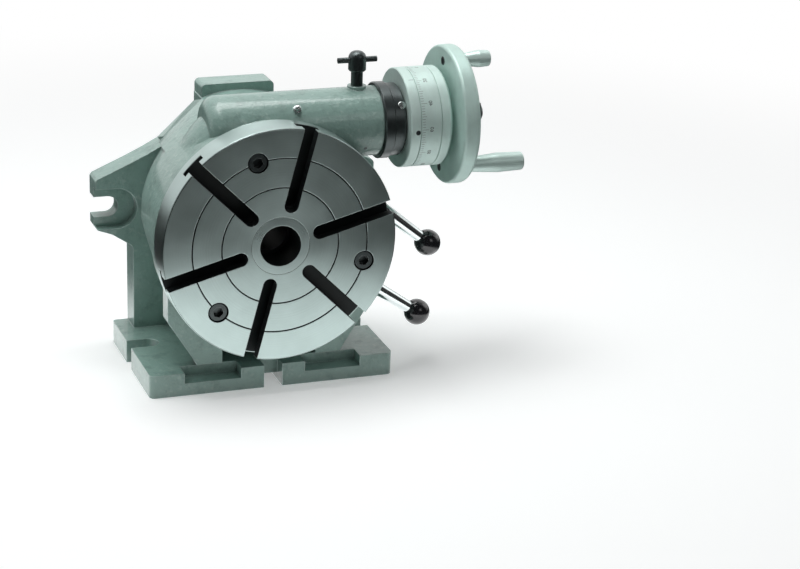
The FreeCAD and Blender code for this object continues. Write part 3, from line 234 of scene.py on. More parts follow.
def casting_enamel(tones):
    """Hammered mint enamel over cast iron, worn bright along the edges, with painted shade in its
    recesses, grime in its pits and ground faces.
    """
    f = Finish("casting_enamel", coat_roughness=0.12)
    cloud = f.noise(0.07, 4)
    blotch = f.noise(0.014, 5, roughness=0.65)
    peel = f.noise(0.0052, 3)
    dimple = f.noise(0.0022, 2)
    grain = f.noise(0.0009, 2)
    paint = f.mix(cloud.step(0.35, 0.7), darker(tones.enamel, 0.86), colour(tones.enamel))
    paint = f.mix(blotch.step(0.50, 0.68) * 0.65, paint, darker(tones.enamel, 0.62))
    paint = f.mix(peel.step(0.55, 0.75) * 0.3, paint, colour(tones.worn_enamel))
    edge = f.edges(0.0013)
    worn = (edge * 1.3 + f.noise(0.006, 5, roughness=0.7) - 1.05).step(0.12, 0.3)
    pit = f.noise(0.0032, 5, roughness=0.8).step(0.68, 0.74)
    paint = f.mix(edge * 0.5, paint, colour(tones.worn_enamel))
    # Painted shade: the enamel goes towards the grime colour in hollows, corners and recesses,
    # where shade falls.
    recess_shade = f.node("ShaderNodeAmbientOcclusion", {"samples": 4}, {"Distance": 0.02}, "AO")
    paint = f.mix((1 - recess_shade).step(0.3, 0.95) * 0.75, paint, colour(tones.grime_and_shade))
    # Grime in the pits of the enamel.
    paint = f.mix(pit * 0.7, paint, colour(tones.grime_and_shade))
    low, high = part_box("body_casting")
    under = f.part("Z") < low[2] + 0.0002
    behind = f.part("Y") > high[1] - 0.0002
    ground = (under + behind + worn).held()
    marks = f.noise(0.0006, 2, place=f.stretched(0.12, 1.0, 1.0))
    bare = f.mix(marks, darker(tones.iron, 0.8), colour(tones.iron))
    f.feed(base_color=f.mix(ground, paint, bare), metallic=ground * 0.95,
           coat_weight=0.6 - ground * 0.6, roughness=0.36 + blotch * 0.2 + pit * 0.2)
    f.feed(normal=f.bump(peel + dimple * 0.35 + grain * 0.1 - pit * 0.5, 0.0006,
                         f.rounded(0.0012)))
    return f


def turned_iron(tones, name, axis=1, into=1, reach=1.0, shade=1.0, rough=0.3):
    """Turned cast iron about a line through the origin: tool rings, scratches, grey tint.

    What lies deeper than a hair inside reach is oiled and painted near black as shade, as in slots
    and bores.
    """
    f = Finish(name)
    away = f.away(axis, (0, 0, 0))
    ring = f.noise(0.0011, 2, place=f.node("ShaderNodeCombineXYZ", {}, {0: away}))
    cloud = f.noise(0.03, 4)
    grain = f.noise(0.0008, 2)
    depth = f.part("XYZ"[axis]) * into
    # Painted shade with oil: sunk faces in slots and bores go near black.
    sunk_shade = (depth > 0.00012) * (away < reach)
    tone = f.mix(cloud.step(0.3, 0.75), darker(tones.iron, 0.88 * shade),
                 darker(tones.iron, shade))
    tone = f.mix(ring.step(0.4, 0.75) * 0.25, tone, darker(tones.iron, 0.66 * shade))
    edge = f.edges(0.0005)
    tone = f.mix(edge * 0.5, tone, colour(tones.bright))
    oil_and_shade = f.mix(cloud, colour(tones.oil_and_shade), darker(tones.oil_and_shade, 1.6))
    f.feed(base_color=f.mix(sunk_shade, tone, oil_and_shade), metallic=1 - sunk_shade * 0.7,
           roughness=rough + cloud * 0.08 + ring * 0.05 + sunk_shade * 0.25,
           normal=f.bump(ring + grain * 0.3, 0.00002, f.rounded(0.0004)))
    return f


def black_oxide(tones, name="black_oxide"):
    """Blued steel, oiled and nearly black, with edges rubbed to bare metal."""
    f = Finish(name, metallic=0.85, coat_weight=0.35, coat_roughness=0.25)
    cloud = f.noise(0.012, 4)
    grain = f.noise(0.0007, 2)
    edge = f.edges(0.0006)
    rubbed = (edge + f.noise(0.004, 4) - 0.75).step(0.1, 0.5)
    tone = f.mix(cloud, colour(tones.oxide), darker(tones.oxide, 1.8))
    f.feed(base_color=f.mix(rubbed * 0.5, tone, darker(tones.bright, 0.45)),
           roughness=0.3 + cloud * 0.14, normal=f.bump(grain, 0.00002, f.rounded(0.0004)))
    return f


def satin_metal(tones, name, plate, axis, centre, rough, metallic=1.0):
    """Turned, ground or satin plated steel with fine lines round an axis through centre."""
    f = Finish(name, metallic=metallic)
    stretch = [1.0 if i == axis else 0.06 for i in range(3)]
    lines = f.noise(0.0009, 3, place=f.stretched(*stretch))
    ring = f.noise(0.0012, 2, place=f.node("ShaderNodeCombineXYZ", {}, {0: f.away(axis, centre)}))
    smear = f.noise(0.02, 4, roughness=0.6)
    tone = f.mix(smear.step(0.35, 0.75), darker(plate, 0.9), colour(plate))
    tone = f.mix((lines + ring).step(0.95, 1.3) * 0.2, tone, darker(plate, 0.7))
    tone = f.mix(f.edges(0.0005) * 0.4, tone, colour(tones.bright))
    f.feed(base_color=tone, roughness=rough + smear * 0.1,
           normal=f.bump(lines + ring, 0.000012, f.rounded(0.0005)))
    return f


def plated(name, plate, rough, metallic=1.0):
    """Chrome or satin plate with a few fine scuffs, for the rods and handles."""
    f = Finish(name, metallic=metallic)
    scuff = f.noise(0.004, 5, place=f.stretched(1.0, 0.3, 0.6), roughness=0.75)
    smear = f.noise(0.015, 3)
    f.feed(base_color=f.mix(smear, darker(plate, 0.93), colour(plate)),
           roughness=rough + smear * 0.06 + scuff.step(0.6, 0.8) * 0.12,
           normal=f.bump(scuff, 0.000004, f.rounded(0.0004)))
    return f


def phenolic(tones):
    """Moulded black phenolic with a deep gloss and faint scuffs."""
    f = Finish("phenolic", coat_weight=0.6, coat_roughness=0.06)
    smear = f.noise(0.006, 4)
    scuff = f.noise(0.0018, 4, roughness=0.8)
    f.feed(base_color=f.mix(smear, colour(tones.phenolic), darker(tones.phenolic, 1.9)),
           roughness=0.2 + scuff.step(0.55, 0.8) * 0.2, normal=f.bump(smear, 0.00004))
    return f


def bronze(tones):
    """Machined bronze, slightly dulled by oil."""
    f = Finish("bronze", metallic=1.0)
    cloud = f.noise(0.01, 4)
    lines = f.noise(0.0008, 2, place=f.stretched(1.0, 0.2, 0.2))
    tone = f.mix(cloud, darker(tones.bronze, 0.75), colour(tones.bronze))
    f.feed(base_color=tone, roughness=0.3 + cloud * 0.12,
           normal=f.bump(lines, 0.00002, f.rounded(0.0003)))
    return f


def scale_ink(tones):
    """Black filling of engraved lines, a little uneven."""
    f = Finish("scale_ink", roughness=0.6)
    grain = f.noise(0.0005, 3)
    f.feed(base_color=f.mix(grain, colour(tones.ink), darker(tones.ink, 2.2)),
           normal=f.bump(grain, 0.00002))
    return f


# ---------------------------------------------------------------- engraved scales

PROUD = 0.00004         # how far the ink stands out of what it is engraved in
FIGURE = 0.7            # height of a figure as a share of its font's size


class Barrel:
    """A round surface about a line along X. Places on it are along that line and round it."""

    def __init__(self, centre, across):
        self.centre, self.across = Vector(centre), across

    def point(self, along, angle):
        """A place just proud of the barrel. The angle starts at the top and goes forwards."""
        out = self.across + PROUD
        return Vector((along, self.centre[1] - out * math.sin(angle),
                       self.centre[2] + out * math.cos(angle)))


def line_on(barrel, points, faces, start, end, angle, width):
    """Adds one narrow strip along the barrel."""
    half = width / 2 / barrel.across
    first = len(points)
    points += [barrel.point(a, angle + s * half) for a in (start, end) for s in (-1, 1)]
    faces.append((first, first + 1, first + 3, first + 2))


def numeral_on(barrel, points, faces, text, along, angle, size):
    """Adds a numeral wrapped on the barrel, with its foot at along."""
    curve = bpy.data.curves.new("numeral", "FONT")
    curve.body, curve.size, curve.align_x = text, size, "CENTER"
    curve.resolution_u = 3
    holder = bpy.data.objects.new("numeral", curve)
    mesh = bpy.data.meshes.new_from_object(holder)
    first = len(points)
    for vertex in mesh.vertices:
        turn = angle - vertex.co.x / barrel.across
        points.append(barrel.point(along + vertex.co.y, turn))
    faces += [tuple(first + i for i in face.vertices) for face in mesh.polygons]
    bpy.data.objects.remove(holder)
    bpy.data.curves.remove(curve)
    bpy.data.meshes.remove(mesh)


def piece(name, points, faces, body, finish):
    """Links a mesh piece that rides on a body."""
    mesh = bpy.data.meshes.new(name)
    mesh.from_pydata([tuple(p) for p in points], [], faces)
    mesh.materials.append(finish.material)
    made = bpy.data.objects.new(name, mesh)
    bpy.context.scene.collection.objects.link(made)
    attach(made, body)
    return made


# ---------------------------------------------------------------- what a user changes

def tint(name, description, default):
    """A colour."""
    return bpy.props.FloatVectorProperty(name=name, description=description, default=default,
                                         subtype="COLOR", size=3, min=0.0, max=1.0)


def span(name, description, default):
    """A length in metres."""
    return bpy.props.FloatProperty(name=name, description=description, default=default,
                                   unit="LENGTH", min=0.0)


def level(name, description, default):
    """A strength."""
    return bpy.props.FloatProperty(name=name, description=description, default=default, min=0.0)


class HeadTones(bpy.types.PropertyGroup):
    """Colours of the head's finishes."""
    enamel: tint("Enamel", "Mint enamel on the casting", (0.29, 0.45, 0.40))
    worn_enamel: tint("Worn enamel", "Enamel rubbed thin along edges", (0.52, 0.66, 0.61))
    # Grime in the enamel's pits, and also the painted shade in the casting's recesses.
    grime_and_shade: tint("Grime", "Oil and dust in the pits of the enamel", (0.12, 0.15, 0.14))
    iron: tint("Iron", "Turned and ground cast iron", (0.50, 0.61, 0.59))
    bright: tint("Bright edge", "Metal rubbed bright", (0.74, 0.80, 0.79))
    # Near black for sunk faces: oil and painted shade in slots and bores.
    oil_and_shade: tint("Oily iron", "Sunk faces of slots and bores", (0.012, 0.016, 0.016))
    oxide: tint("Black oxide", "Blued sleeve, screws and hubs", (0.045, 0.055, 0.055))
    satin: tint("Satin plate", "Dial, its rings and the handles", (0.68, 0.85, 0.80))
    wheel: tint("Handwheel plate", "Handwheel", (0.62, 0.82, 0.76))
    chrome: tint("Chrome", "Lever rods", (0.74, 0.80, 0.80))
    bronze: tint("Bronze", "Worm wheel and bushes", (0.50, 0.30, 0.12))
    phenolic: tint("Phenolic", "Ball knobs", (0.008, 0.008, 0.010))
    ink: tint("Scale ink", "Filling of engraved lines and numerals", (0.02, 0.025, 0.025))


class HeadScales(bpy.types.PropertyGroup):
    """Sizes of the engraved scales."""
    dial_parts: bpy.props.IntProperty(name="Dial parts", description="Divisions round the dial",
                                      default=120, min=12)
    dial_line: span("Dial line", "Length of a short line on the dial", 0.0028)
    line_width: span("Line width", "Width of an engraved line", 0.00022)
    numeral: span("Numeral", "Height of the dial's numerals", 0.0032)


class HeadStudio(bpy.types.PropertyGroup):
    """Camera, lamps, room and floor."""
    lens: bpy.props.FloatProperty(name="Lens", description="Focal length of the camera",
                                  default=105.2, unit="CAMERA", min=10.0)
    top: level("Top lamp", "Strength of the lamp overhead", 18.5)
    key: level("Key lamp", "Strength of the lamp at the upper left", 6.0)
    ahead: level("Front lamp", "Strength of the lamp ahead and to the right", 1.8)
    side: level("Side lamp", "Strength of the lamp on the right", 2.0)
    sky: level("Room", "Strength of the plain room light", 0.11)
    front: level("Front of the room", "What polished faces see ahead of them", 0.045)
    paper: span("Paper", "How far the pale paper reaches round the table", 0.22)
    floor: tint("Floor", "Colour of the floor", (0.90, 0.92, 0.92))


# ---------------------------------------------------------------- solids made here

def solid(name, loops):
    """A closed object from like outlines that follow one another."""
    count = len(loops[0])
    points = [tuple(point) for loop in loops for point in loop]
    faces = [tuple(range(count))[::-1], tuple(range(len(points) - count, len(points)))]
    for step in range(len(loops) - 1):
        for i in range(count):
            j = (i + 1) % count
            faces.append((step * count + i, step * count + j,
                          (step + 1) * count + j, (step + 1) * count + i))
    mesh = bpy.data.meshes.new(name)
    mesh.from_pydata(points, [], faces)
    shell = bmesh.new()
    shell.from_mesh(mesh)
    bmesh.ops.recalc_face_normals(shell, faces=shell.faces)
    shell.to_mesh(mesh)
    shell.free()
    made = bpy.data.objects.new(name, mesh)
    bpy.context.scene.collection.objects.link(made)
    return made


def circle(count):
    """Cosine and sine of evenly spaced angles all round."""
    turns = [math.tau * k / count for k in range(count)]
    return [(math.cos(turn), math.sin(turn)) for turn in turns]


# ---------------------------------------------------------------- operators

class HEAD_OT_casting(bpy.types.Operator):
    """Slopes the casting's shoulders and lugs as cast, and enamels it and its rear cover"""
    bl_idname = "dividing_head.casting"
    bl_label = "Casting"

    # Places are in metres from the middle of the table's face. Y runs to the back.
    shoulder = (-0.683, 0.730)      # way out from the sloping shoulder, along X and Z
    shoulder_out = 0.0835           # from the table's axis to the shoulder at the back face
    shoulder_top = -0.0325          # X where the slope leaves the crown
    shoulder_low = -0.080           # X where it has run into the drum
    shoulder_start = 0.090          # Y where it meets the drum, behind the arm
    taper = 0.2207                  # how fast the shoulder widens towards the front
    back_plate = 0.024              # thickness of the plate with the crown and the lugs
    lug_line = ((-0.0652, 0.0534), (-0.0803, 0.0455), (-0.0935, 0.0393), (-0.1217, 0.0270))
    lug_end = (-0.15, 0.0155)       # X and Z where the lug's slope is past its tip
    flank_start = (0.079, 0.0984)   # Y and radius where the flank's taper leaves the drum
    flank_radius = 0.0883           # its radius at the back plate
    flank = (141, 190)              # degrees round the table's axis that the taper covers
    arm = (0.060, 0.084)            # Y and Z of the cross arm's centre line
    # X, Y, Z and radius of the swelling's sections, from the left flank into the arm
    swelling = ((-0.086, 0.068, 0.020, 0.012), (-0.070, 0.064, 0.046, 0.022),
                (-0.056, 0.061, 0.064, 0.0275), (-0.038, 0.060, 0.078, 0.0292),
                (-0.014, 0.060, 0.0838, 0.0288), (0.01, 0.060, 0.084, 0.026))
    bore = 0.02055                  # radius of the sleeve's bore along the arm
    bore_run = (-0.047, 0.03)       # X between which it is opened again
    gear_room = (0.077, 0.0315, 0.0755)     # radius, front and back of the wheel's room
    clear = (0.13, 0.14, 0.01)      # past the drum's side, its top and its back face
    lap = (0.0001, 0.0002, 0.0006)  # by which cutters overlap, so that no thin fin is left
    crease = 28                     # degrees at which an edge stays sharp

    def shoulder_cutter(self, start, end, low, back, side):
        """What lies beyond the slope between the crown and the lug."""
        loops = []
        for y in (start, end):
            out = self.shoulder_out + (back - y) * self.taper
            top, high = self.shoulder_top, self.clear[1]
            rise = [(out - self.shoulder[0] * x) / self.shoulder[1] for x in (top, low)]
            loops.append([(x * side, y, z) for x, z in (
                (top, rise[0]), (low, rise[1]), (low, high), (top, high))])
        return solid("shoulder_cutter", loops)

    def lug_cutter(self, back, front, side):
        """What lies above the sloping top of a lug."""
        high = self.clear[1]
        line = [*self.lug_line, self.lug_end, (self.lug_end[0], high), (self.lug_line[0][0], high)]
        return solid("lug_cutter", [[(x * side, y, z) for x, z in line]
                                    for y in (front - self.lap[1], back + self.clear[2])])

    def flank_cutter(self, front):
        """What lies outside the tapering flank between the left lug and the front of the drum."""
        start, across = self.flank_start
        first, last = self.flank
        steps, outside = 12, self.clear[0]
        loops = []
        for i in range(steps + 1):
            angle = math.radians(first + (last - first) * i / steps)
            loops.append([(reach * math.cos(angle), y, reach * math.sin(angle))
                          for y, reach in ((start, across), (front, self.flank_radius),
                                           (front, outside), (start, outside))])
        return solid("flank_cutter", loops)

    def arm_shoulder(self):
        """The swelling where the cross arm runs into the drum."""
        made = solid("arm_shoulder", [
            [(x, y - across * c, z + across * s) for c, s in circle(40)]
            for x, y, z, across in self.swelling])
        smooth = made.modifiers.new("smooth", "SUBSURF")
        smooth.levels = smooth.render_levels = 1
        return made

    def bore_cutter(self):
        """The sleeve's bore, opened again through the swelling."""
        y, z = self.arm
        return solid("bore_cutter", [
            [(x, y + self.bore * c, z + self.bore * s) for c, s in circle(96)]
            for x in self.bore_run])

    def gear_cutter(self):
        """The wheel's room, opened again through the swelling."""
        across, front, rear = self.gear_room
        return solid("gear_cutter", [
            [(across * c, y, across * s) for c, s in circle(180)] for y in (front, rear)])

    def cut(self, made, tools):
        """Runs the tools on a mesh object, then removes them."""
        for operation, tool in tools:
            modifier = made.modifiers.new(tool.name, "BOOLEAN")
            modifier.operation, modifier.solver, modifier.object = operation, "EXACT", tool
        graph = bpy.context.evaluated_depsgraph_get()
        result = bpy.data.meshes.new_from_object(made.evaluated_get(graph))
        made.modifiers.clear()
        made.data = result
        for _, tool in tools:
            bpy.data.objects.remove(tool)

    def cast(self, finish):
        """The casting again, joined to the swelling and cut to its slopes."""
        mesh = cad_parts["body_casting"].data.copy()
        shell = bmesh.new()
        shell.from_mesh(mesh)
        bmesh.ops.remove_doubles(shell, verts=shell.verts, dist=0.000002)
        shell.to_mesh(mesh)
        shell.free()
        for name in [a.name for a in mesh.attributes if "normal" in a.name]:
            mesh.attributes.remove(mesh.attributes[name])
        made = bpy.data.objects.new("casting", mesh)
        bpy.context.scene.collection.objects.link(made)
        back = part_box("body_casting")[1][1]
        plate = back - self.back_plate
        swelling = self.arm_shoulder()
        self.cut(swelling, [("DIFFERENCE", self.bore_cutter()),
                            ("DIFFERENCE", self.gear_cutter())])
        tools = [("UNION", swelling)]
        for side in (1, -1):
            for start, end, low in (
                    (self.shoulder_start, plate, self.shoulder_low),
                    (plate - self.lap[0], back + self.clear[2],
                     self.lug_line[0][0] - self.lap[2])):
                tools.append(("DIFFERENCE", self.shoulder_cutter(start, end, low, back, side)))
            tools.append(("DIFFERENCE", self.lug_cutter(back, plate, side)))
        tools.append(("DIFFERENCE", self.flank_cutter(plate)))
        self.cut(made, tools)
        result = made.data
        result.materials.clear()
        result.materials.append(finish.material)
        result.shade_smooth()
        result.set_sharp_from_angle(angle=math.radians(self.crease))
        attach(made, "housing")
        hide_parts("body_casting")

    def execute(self, context):
        finish = casting_enamel(context.scene.head_tones)
        self.cast(finish)
        dress(["rear_cover"], finish)
        return {"FINISHED"}


class HEAD_OT_table(bpy.types.Operator):
    """Finishes the rotary table, its bush and spindle as turned iron"""
    bl_idname = "dividing_head.table"
    bl_label = "Rotary table"

    chamfer = 0.0006        # at the table's rim, kept out of the reach of the oil and painted shade

    def faced_table(self, tones):
        """The table again, on an object whose Z axis is its own, which its brushed gloss needs."""
        turn = Vector((0, -1, 0)).rotation_difference(Vector((0, 0, 1))).to_matrix().to_4x4()
        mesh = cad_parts["rotary_table"].data.copy()
        mesh.transform(turn)
        mesh.materials.clear()
        finish = turned_iron(tones, "faced_iron", axis=2, into=-1, rough=0.24,
                             reach=radius("rotary_table", 1) - self.chamfer)
        finish.feed(anisotropic=0.7, anisotropic_rotation=0.25)
        mesh.materials.append(finish.material)
        made = bpy.data.objects.new("faced_table", mesh)
        made.matrix_world = turn.inverted()
        bpy.context.scene.collection.objects.link(made)
        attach(made, "table")
        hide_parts("rotary_table")

    def execute(self, context):
        tones = context.scene.head_tones
        self.faced_table(tones)
        dress(["centre_bush"], turned_iron(tones, "ground_bush", rough=0.22))
        dress(["table_spindle"], turned_iron(tones, "turned_spindle", shade=0.9))
        return {"FINISHED"}


class HEAD_OT_black_parts(bpy.types.Operator):
    """Blues the sleeve, screws and lever hubs"""
    bl_idname = "dividing_head.black_parts"
    bl_label = "Black parts"

    names = ("table_screws", "wheel_screws", "retaining_nut", "rear_cover_screws",
             "eccentric_sleeve", "upper_clamp_screw", "lower_clamp_screw", "lock_screw",
             "lock_bar", "crank_handle_bolt", "spinner_knob_bolt", "handwheel_nut")

    def execute(self, context):
        dress(self.names, black_oxide(context.scene.head_tones))
        return {"FINISHED"}


class HEAD_OT_drive(bpy.types.Operator):
    """Finishes the worm, its wheel, bushes and claws"""
    bl_idname = "dividing_head.drive"
    bl_label = "Worm drive"

    def execute(self, context):
        tones = context.scene.head_tones
        dress(["worm_wheel", "inner_worm_bush", "outer_worm_bush", "worm_thrust_washer",
               "lock_pad"], bronze(tones))
        centre = middle("worm_shaft")
        dress(["worm_shaft", "handwheel_key", "handwheel_washer", "sleeve_pin"],
              satin_metal(tones, "ground_steel", tones.bright, 0, centre, 0.2))
        dress(["thrust_ring", "upper_clamp_claw", "lower_clamp_claw"],
              satin_metal(tones, "plain_steel", tones.iron, 1, (0, 0, 0), 0.3))
        return {"FINISHED"}


class HEAD_OT_dial(bpy.types.Operator):
    """Finishes the dial and its rings, and engraves the scale of minutes"""
    bl_idname = "dividing_head.dial"
    bl_label = "Dial"

    chamfer = 0.0006        # at the edge where the lines start
    tenth, fifth = 1.9, 1.4     # every tenth and fifth line, in lengths of a short one
    numeral_foot = 0.0068   # from that edge to the foot of a numeral
    # The index line: degrees from the top, start short of the ring's end, width in dial lines
    index = (28, 0.005, 1.6)

    def execute(self, context):
        tones, scales = context.scene.head_tones, context.scene.head_scales
        centre = middle("graduated_dial")
        satin = satin_metal(tones, "satin_plate", tones.satin, 0, centre, 0.42, 0.25)
        dress(["graduated_dial", "index_ring", "dial_lock_ring"], satin)
        barrel = Barrel(centre, radius("graduated_dial", 0))
        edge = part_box("graduated_dial")[0][0] + self.chamfer
        points, faces = [], []
        for i in range(scales.dial_parts):
            longer = self.tenth if i % 10 == 0 else self.fifth if i % 5 == 0 else 1.0
            turn = math.tau * i / scales.dial_parts
            line_on(barrel, points, faces, edge, edge + scales.dial_line * longer, turn,
                    scales.line_width)
            if i % 10 == 0:
                numeral_on(barrel, points, faces, str(2 * i), edge + self.numeral_foot, turn,
                           scales.numeral / FIGURE)
        ink = scale_ink(tones)
        piece("dial_scale", points, faces, "dial", ink)
        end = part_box("index_ring")[1][0]
        degrees, length, wider = self.index
        points, faces = [], []
        line_on(Barrel(centre, radius("index_ring", 0)), points, faces, end - length,
                end - self.chamfer, math.radians(degrees), scales.line_width * wider)
        piece("index_line", points, faces, "sleeve", ink)
        return {"FINISHED"}


class HEAD_OT_fittings(bpy.types.Operator):
    """Sets the oil nipple, the plug and the small screws in the arm and sleeve"""
    bl_idname = "dividing_head.fittings"
    bl_label = "Small fittings"

    arm = 0.0295            # radius of the cross arm
    step = 0.031            # radius of the sleeve's step
    crease = 35             # degrees at which an edge stays sharp
    nipple = ((-0.002, 0.0034), (0.0012, 0.0034), (0.0014, 0.0022), (0.0030, 0.0020),
              (0.0036, 0.0024), (0.0044, 0.0022), (0.0050, 0.0014), (0.0051, 0.0002))
    arm_screw = ((-0.002, 0.0016), (0.00012, 0.0016), (0.00014, 0.0002))
    plug = ((-0.002, 0.0033), (0.0004, 0.0033), (0.0008, 0.0028), (0.0009, 0.0002))
    ring_screw = ((-0.002, 0.0021), (0.00012, 0.0021), (0.00014, 0.0002))

    def fitting(self, name, body, slot, finish, centre, x, across, degrees, profile):
        """A round fitting on a barrel along X, at an angle above the front.

        Its profile is how far out of the barrel and how wide it is, from foot to tip.
        """
        turn = math.radians(degrees)
        out = Vector((0, -math.cos(turn), math.sin(turn)))
        aside = Vector((0, math.sin(turn), math.cos(turn)))
        foot = Vector((x, centre[1], centre[2])) + out * across
        made = solid(name, [
            [foot + out * rise + (Vector((1, 0, 0)) * c + aside * s) * wide
             for c, s in circle(28)] for rise, wide in profile])
        made.data.materials.append(finish.material)
        made.data.set_sharp_from_angle(angle=math.radians(self.crease))
        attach(made, body)

    def execute(self, context):
        tones = context.scene.head_tones
        sleeve, ring = middle("eccentric_sleeve"), middle("index_ring")
        steel = satin_metal(tones, "fitting_steel", tones.bright, 0, sleeve, 0.2)
        black = black_oxide(tones, "fitting_black")
        for name, body, slot, finish, centre, x, across, degrees, profile in (
                ("oil_nipple", "housing", "bright_steel", steel,
                 sleeve, 0.0242, self.arm, 42.4, self.nipple),
                ("arm_screw", "housing", "black_steel", black,
                 sleeve, 0.084, self.arm, -35, self.arm_screw),
                ("sleeve_plug", "sleeve", "bright_steel", steel,
                 sleeve, 0.1148, self.step, 37, self.plug),
                ("ring_screw", "sleeve", "black_steel", black,
                 ring, 0.1252, radius("index_ring", 0), -3, self.ring_screw)):
            self.fitting(name, body, slot, finish, centre, x, across, degrees, profile)
        return {"FINISHED"}


class HEAD_OT_handwheel(bpy.types.Operator):
    """Finishes the handwheel and its two handles"""
    bl_idname = "dividing_head.handwheel"
    bl_label = "Handwheel"

    def execute(self, context):
        tones = context.scene.head_tones
        centre = middle("handwheel")
        dress(["handwheel"], satin_metal(tones, "wheel_plate", tones.wheel, 0, centre, 0.42, 0.25))
        dress(["crank_handle", "spinner_knob"],
              plated("handle_plate", tones.satin, 0.36, 0.4))
        return {"FINISHED"}


class HEAD_OT_levers(bpy.types.Operator):
    """Finishes the clamp levers: chromed rods with black balls"""
    bl_idname = "dividing_head.levers"
    bl_label = "Clamp levers"

    def execute(self, context):
        tones = context.scene.head_tones
        dress(["upper_lever_rod", "lower_lever_rod"],
              plated("rod_chrome", tones.chrome, 0.1))
        dress(["upper_ball_knob", "lower_ball_knob"], phenolic(tones))
        return {"FINISHED"}


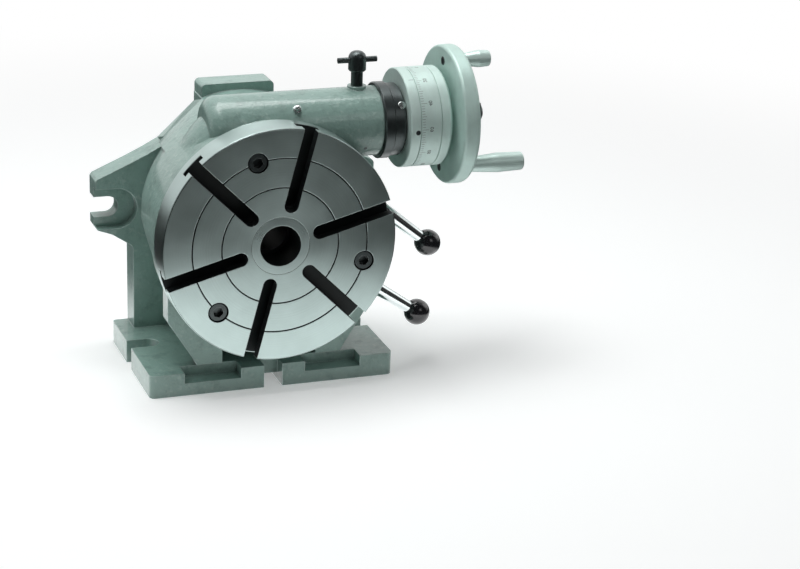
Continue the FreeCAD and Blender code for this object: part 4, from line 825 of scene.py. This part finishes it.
class HEAD_OT_stage(bpy.types.Operator):
    """Lays the floor, hangs the lamps and sets the camera"""
    bl_idname = "dividing_head.stage"
    bl_label = "Studio"

    floor_half = 6.0            # half the floor's side
    paper_fade = 0.14           # how far the paper takes to fade past its reach
    floor_fade = (0.55, 1.3)    # where the floor turns to plain white for the camera
    room_fade = (-0.3, 0.4)     # from its dark front to its light back, along Y
    lamps = (                   # name, setting, place, width and height, what it faces
        ("top_lamp", "top", (-0.1, 0.25, 1.6), (1.2, 0.8), (0, 0.06, 0)),
        ("key_lamp", "key", (-0.8, 0.35, 1.6), (1.5, 1.2), (0, 0, 0)),
        ("front_lamp", "ahead", (0.75, -1.6, 1.1), (0.7, 0.7), (0, 0, 0)),
        ("side_lamp", "side", (1.7, 0.2, 0.9), (0.8, 1.0), (0.05, 0, 0)))
    camera_place = (-0.5298, -1.7379, 0.6286)
    camera_right = (0.9424, -0.3331, 0.0290)
    camera_up = (0.0882, 0.3311, 0.9395)

    def floor(self, studio):
        """Pale paper that fades out in front; the camera sees it as plain white with shadows."""
        low, far = CAD_BOX[0][2], self.floor_half
        mesh = bpy.data.meshes.new("studio_floor")
        mesh.from_pydata([(-far, -far, low), (far, -far, low), (far, far, low),
                          (-far, far, low)], [], [(0, 1, 2, 3)])
        floor = bpy.data.objects.new("studio_floor", mesh)
        bpy.context.scene.collection.objects.link(floor)
        f = Finish("floor_paper", roughness=0.9, specular_ior_level=0.0, emission_strength=1.0)
        camera = f.node("ShaderNodeLightPath", {}, {}, "Is Camera Ray")
        glossy = f.node("ShaderNodeLightPath", {}, {}, "Is Glossy Ray")
        near = 1 - f.away(2, (0, 0, 0)).step(studio.paper, studio.paper + self.paper_fade)
        far = camera * f.away(2, (0, 0, 0)).step(*self.floor_fade)
        paper = f.mix((1 - glossy * (1 - near) * 0.96) * (1 - far), (0, 0, 0, 1),
                      colour(studio.floor))
        glow = (camera * 0.3 + far * 0.7 + glossy * near * 0.85).held()
        f.feed(base_color=paper, emission_color=f.mix(glow, (0, 0, 0, 1), (1, 1, 1, 1)))
        mesh.materials.append(f.material)

    def room(self, studio):
        """White to the camera; a dim room whose front is darker still to what shines."""
        world = bpy.data.worlds.new("plain_room")
        world.use_nodes = True
        tree = world.node_tree
        tree.nodes.clear()

        made = tree.nodes.new
        path = made("ShaderNodeLightPath")
        way = made("ShaderNodeSeparateXYZ")
        tree.links.new(made("ShaderNodeTexCoord").outputs["Generated"], way.inputs[0])
        front = made("ShaderNodeMapRange")
        front.interpolation_type = "SMOOTHSTEP"
        tree.links.new(way.outputs["Y"], front.inputs["Value"])
        for name, value in (("From Min", self.room_fade[0]), ("From Max", self.room_fade[1]),
                            ("To Min", studio.front), ("To Max", 1.0)):
            front.inputs[name].default_value = value
        glossy = made("ShaderNodeMix")
        tree.links.new(path.outputs["Is Glossy Ray"], glossy.inputs[0])
        glossy.inputs[2].default_value = studio.sky
        tree.links.new(front.outputs[0], glossy.inputs[3])
        strength = made("ShaderNodeMix")
        tree.links.new(path.outputs["Is Camera Ray"], strength.inputs[0])
        tree.links.new(glossy.outputs[0], strength.inputs[2])
        strength.inputs[3].default_value = 1.0
        backdrop, end = made("ShaderNodeBackground"), made("ShaderNodeOutputWorld")
        backdrop.inputs[0].default_value = (1, 1, 1, 1)
        tree.links.new(strength.outputs[0], backdrop.inputs[1])
        tree.links.new(backdrop.outputs[0], end.inputs[0])
        return world

    def lamp(self, name, power, place, size, aim):
        """Hangs a soft lamp that faces aim."""
        data = bpy.data.lights.new(name, "AREA")
        data.shape, data.size, data.size_y = "RECTANGLE", size[0], size[1]
        data.energy = power
        made = bpy.data.objects.new(name, data)
        made.location = place
        made.rotation_mode = "QUATERNION"
        made.rotation_quaternion = (Vector(aim) - Vector(place)).to_track_quat("-Z", "Y")
        bpy.context.scene.collection.objects.link(made)

    def execute(self, context):
        scene, studio = context.scene, context.scene.head_studio
        self.floor(studio)
        for name, setting, place, size, aim in self.lamps:
            self.lamp(name, getattr(studio, setting), place, size, aim)
        scene.world = self.room(studio)
        camera = bpy.data.cameras.new("camera")
        camera.lens, camera.sensor_width = studio.lens, 36.0
        camera.clip_start, camera.clip_end = 0.05, 50.0
        holder = bpy.data.objects.new("camera", camera)
        right, up = Vector(self.camera_right), Vector(self.camera_up)
        turn = Matrix((right, up, right.cross(up))).transposed()
        holder.matrix_world = Matrix.Translation(self.camera_place) @ turn.to_4x4()
        scene.collection.objects.link(holder)
        scene.camera = holder
        scene.view_settings.view_transform = "Standard"
        return {"FINISHED"}


class HEAD_PT_sidebar(bpy.types.Panel):
    """Lists the head's pieces and studio"""
    bl_idname = "HEAD_PT_sidebar"
    bl_label = "Dividing Head"
    bl_space_type = "VIEW_3D"
    bl_region_type = "UI"
    bl_category = "Dividing Head"

    def draw(self, context):
        for operator in OPERATORS:
            self.layout.operator(operator.bl_idname)
        for group in (context.scene.head_tones, context.scene.head_scales,
                      context.scene.head_studio):
            box = self.layout.box()
            for name in group.__annotations__:
                box.prop(group, name)


GROUPS = {"head_tones": HeadTones, "head_scales": HeadScales, "head_studio": HeadStudio}
OPERATORS = (HEAD_OT_stage, HEAD_OT_casting, HEAD_OT_table, HEAD_OT_black_parts, HEAD_OT_drive,
             HEAD_OT_dial, HEAD_OT_fittings, HEAD_OT_handwheel, HEAD_OT_levers)
CLASSES = (*GROUPS.values(), *OPERATORS, HEAD_PT_sidebar)


def register():
    for cls in CLASSES:
        bpy.utils.register_class(cls)
    for name, group in GROUPS.items():
        setattr(bpy.types.Scene, name, bpy.props.PointerProperty(type=group))


def unregister():
    for name in GROUPS:
        delattr(bpy.types.Scene, name)
    for cls in reversed(CLASSES):
        bpy.utils.unregister_class(cls)


def main():
    register()
    for operator in OPERATORS:
        family, name = operator.bl_idname.split(".")
        getattr(getattr(bpy.ops, family), name)()


if __name__ == "__main__":
    main()
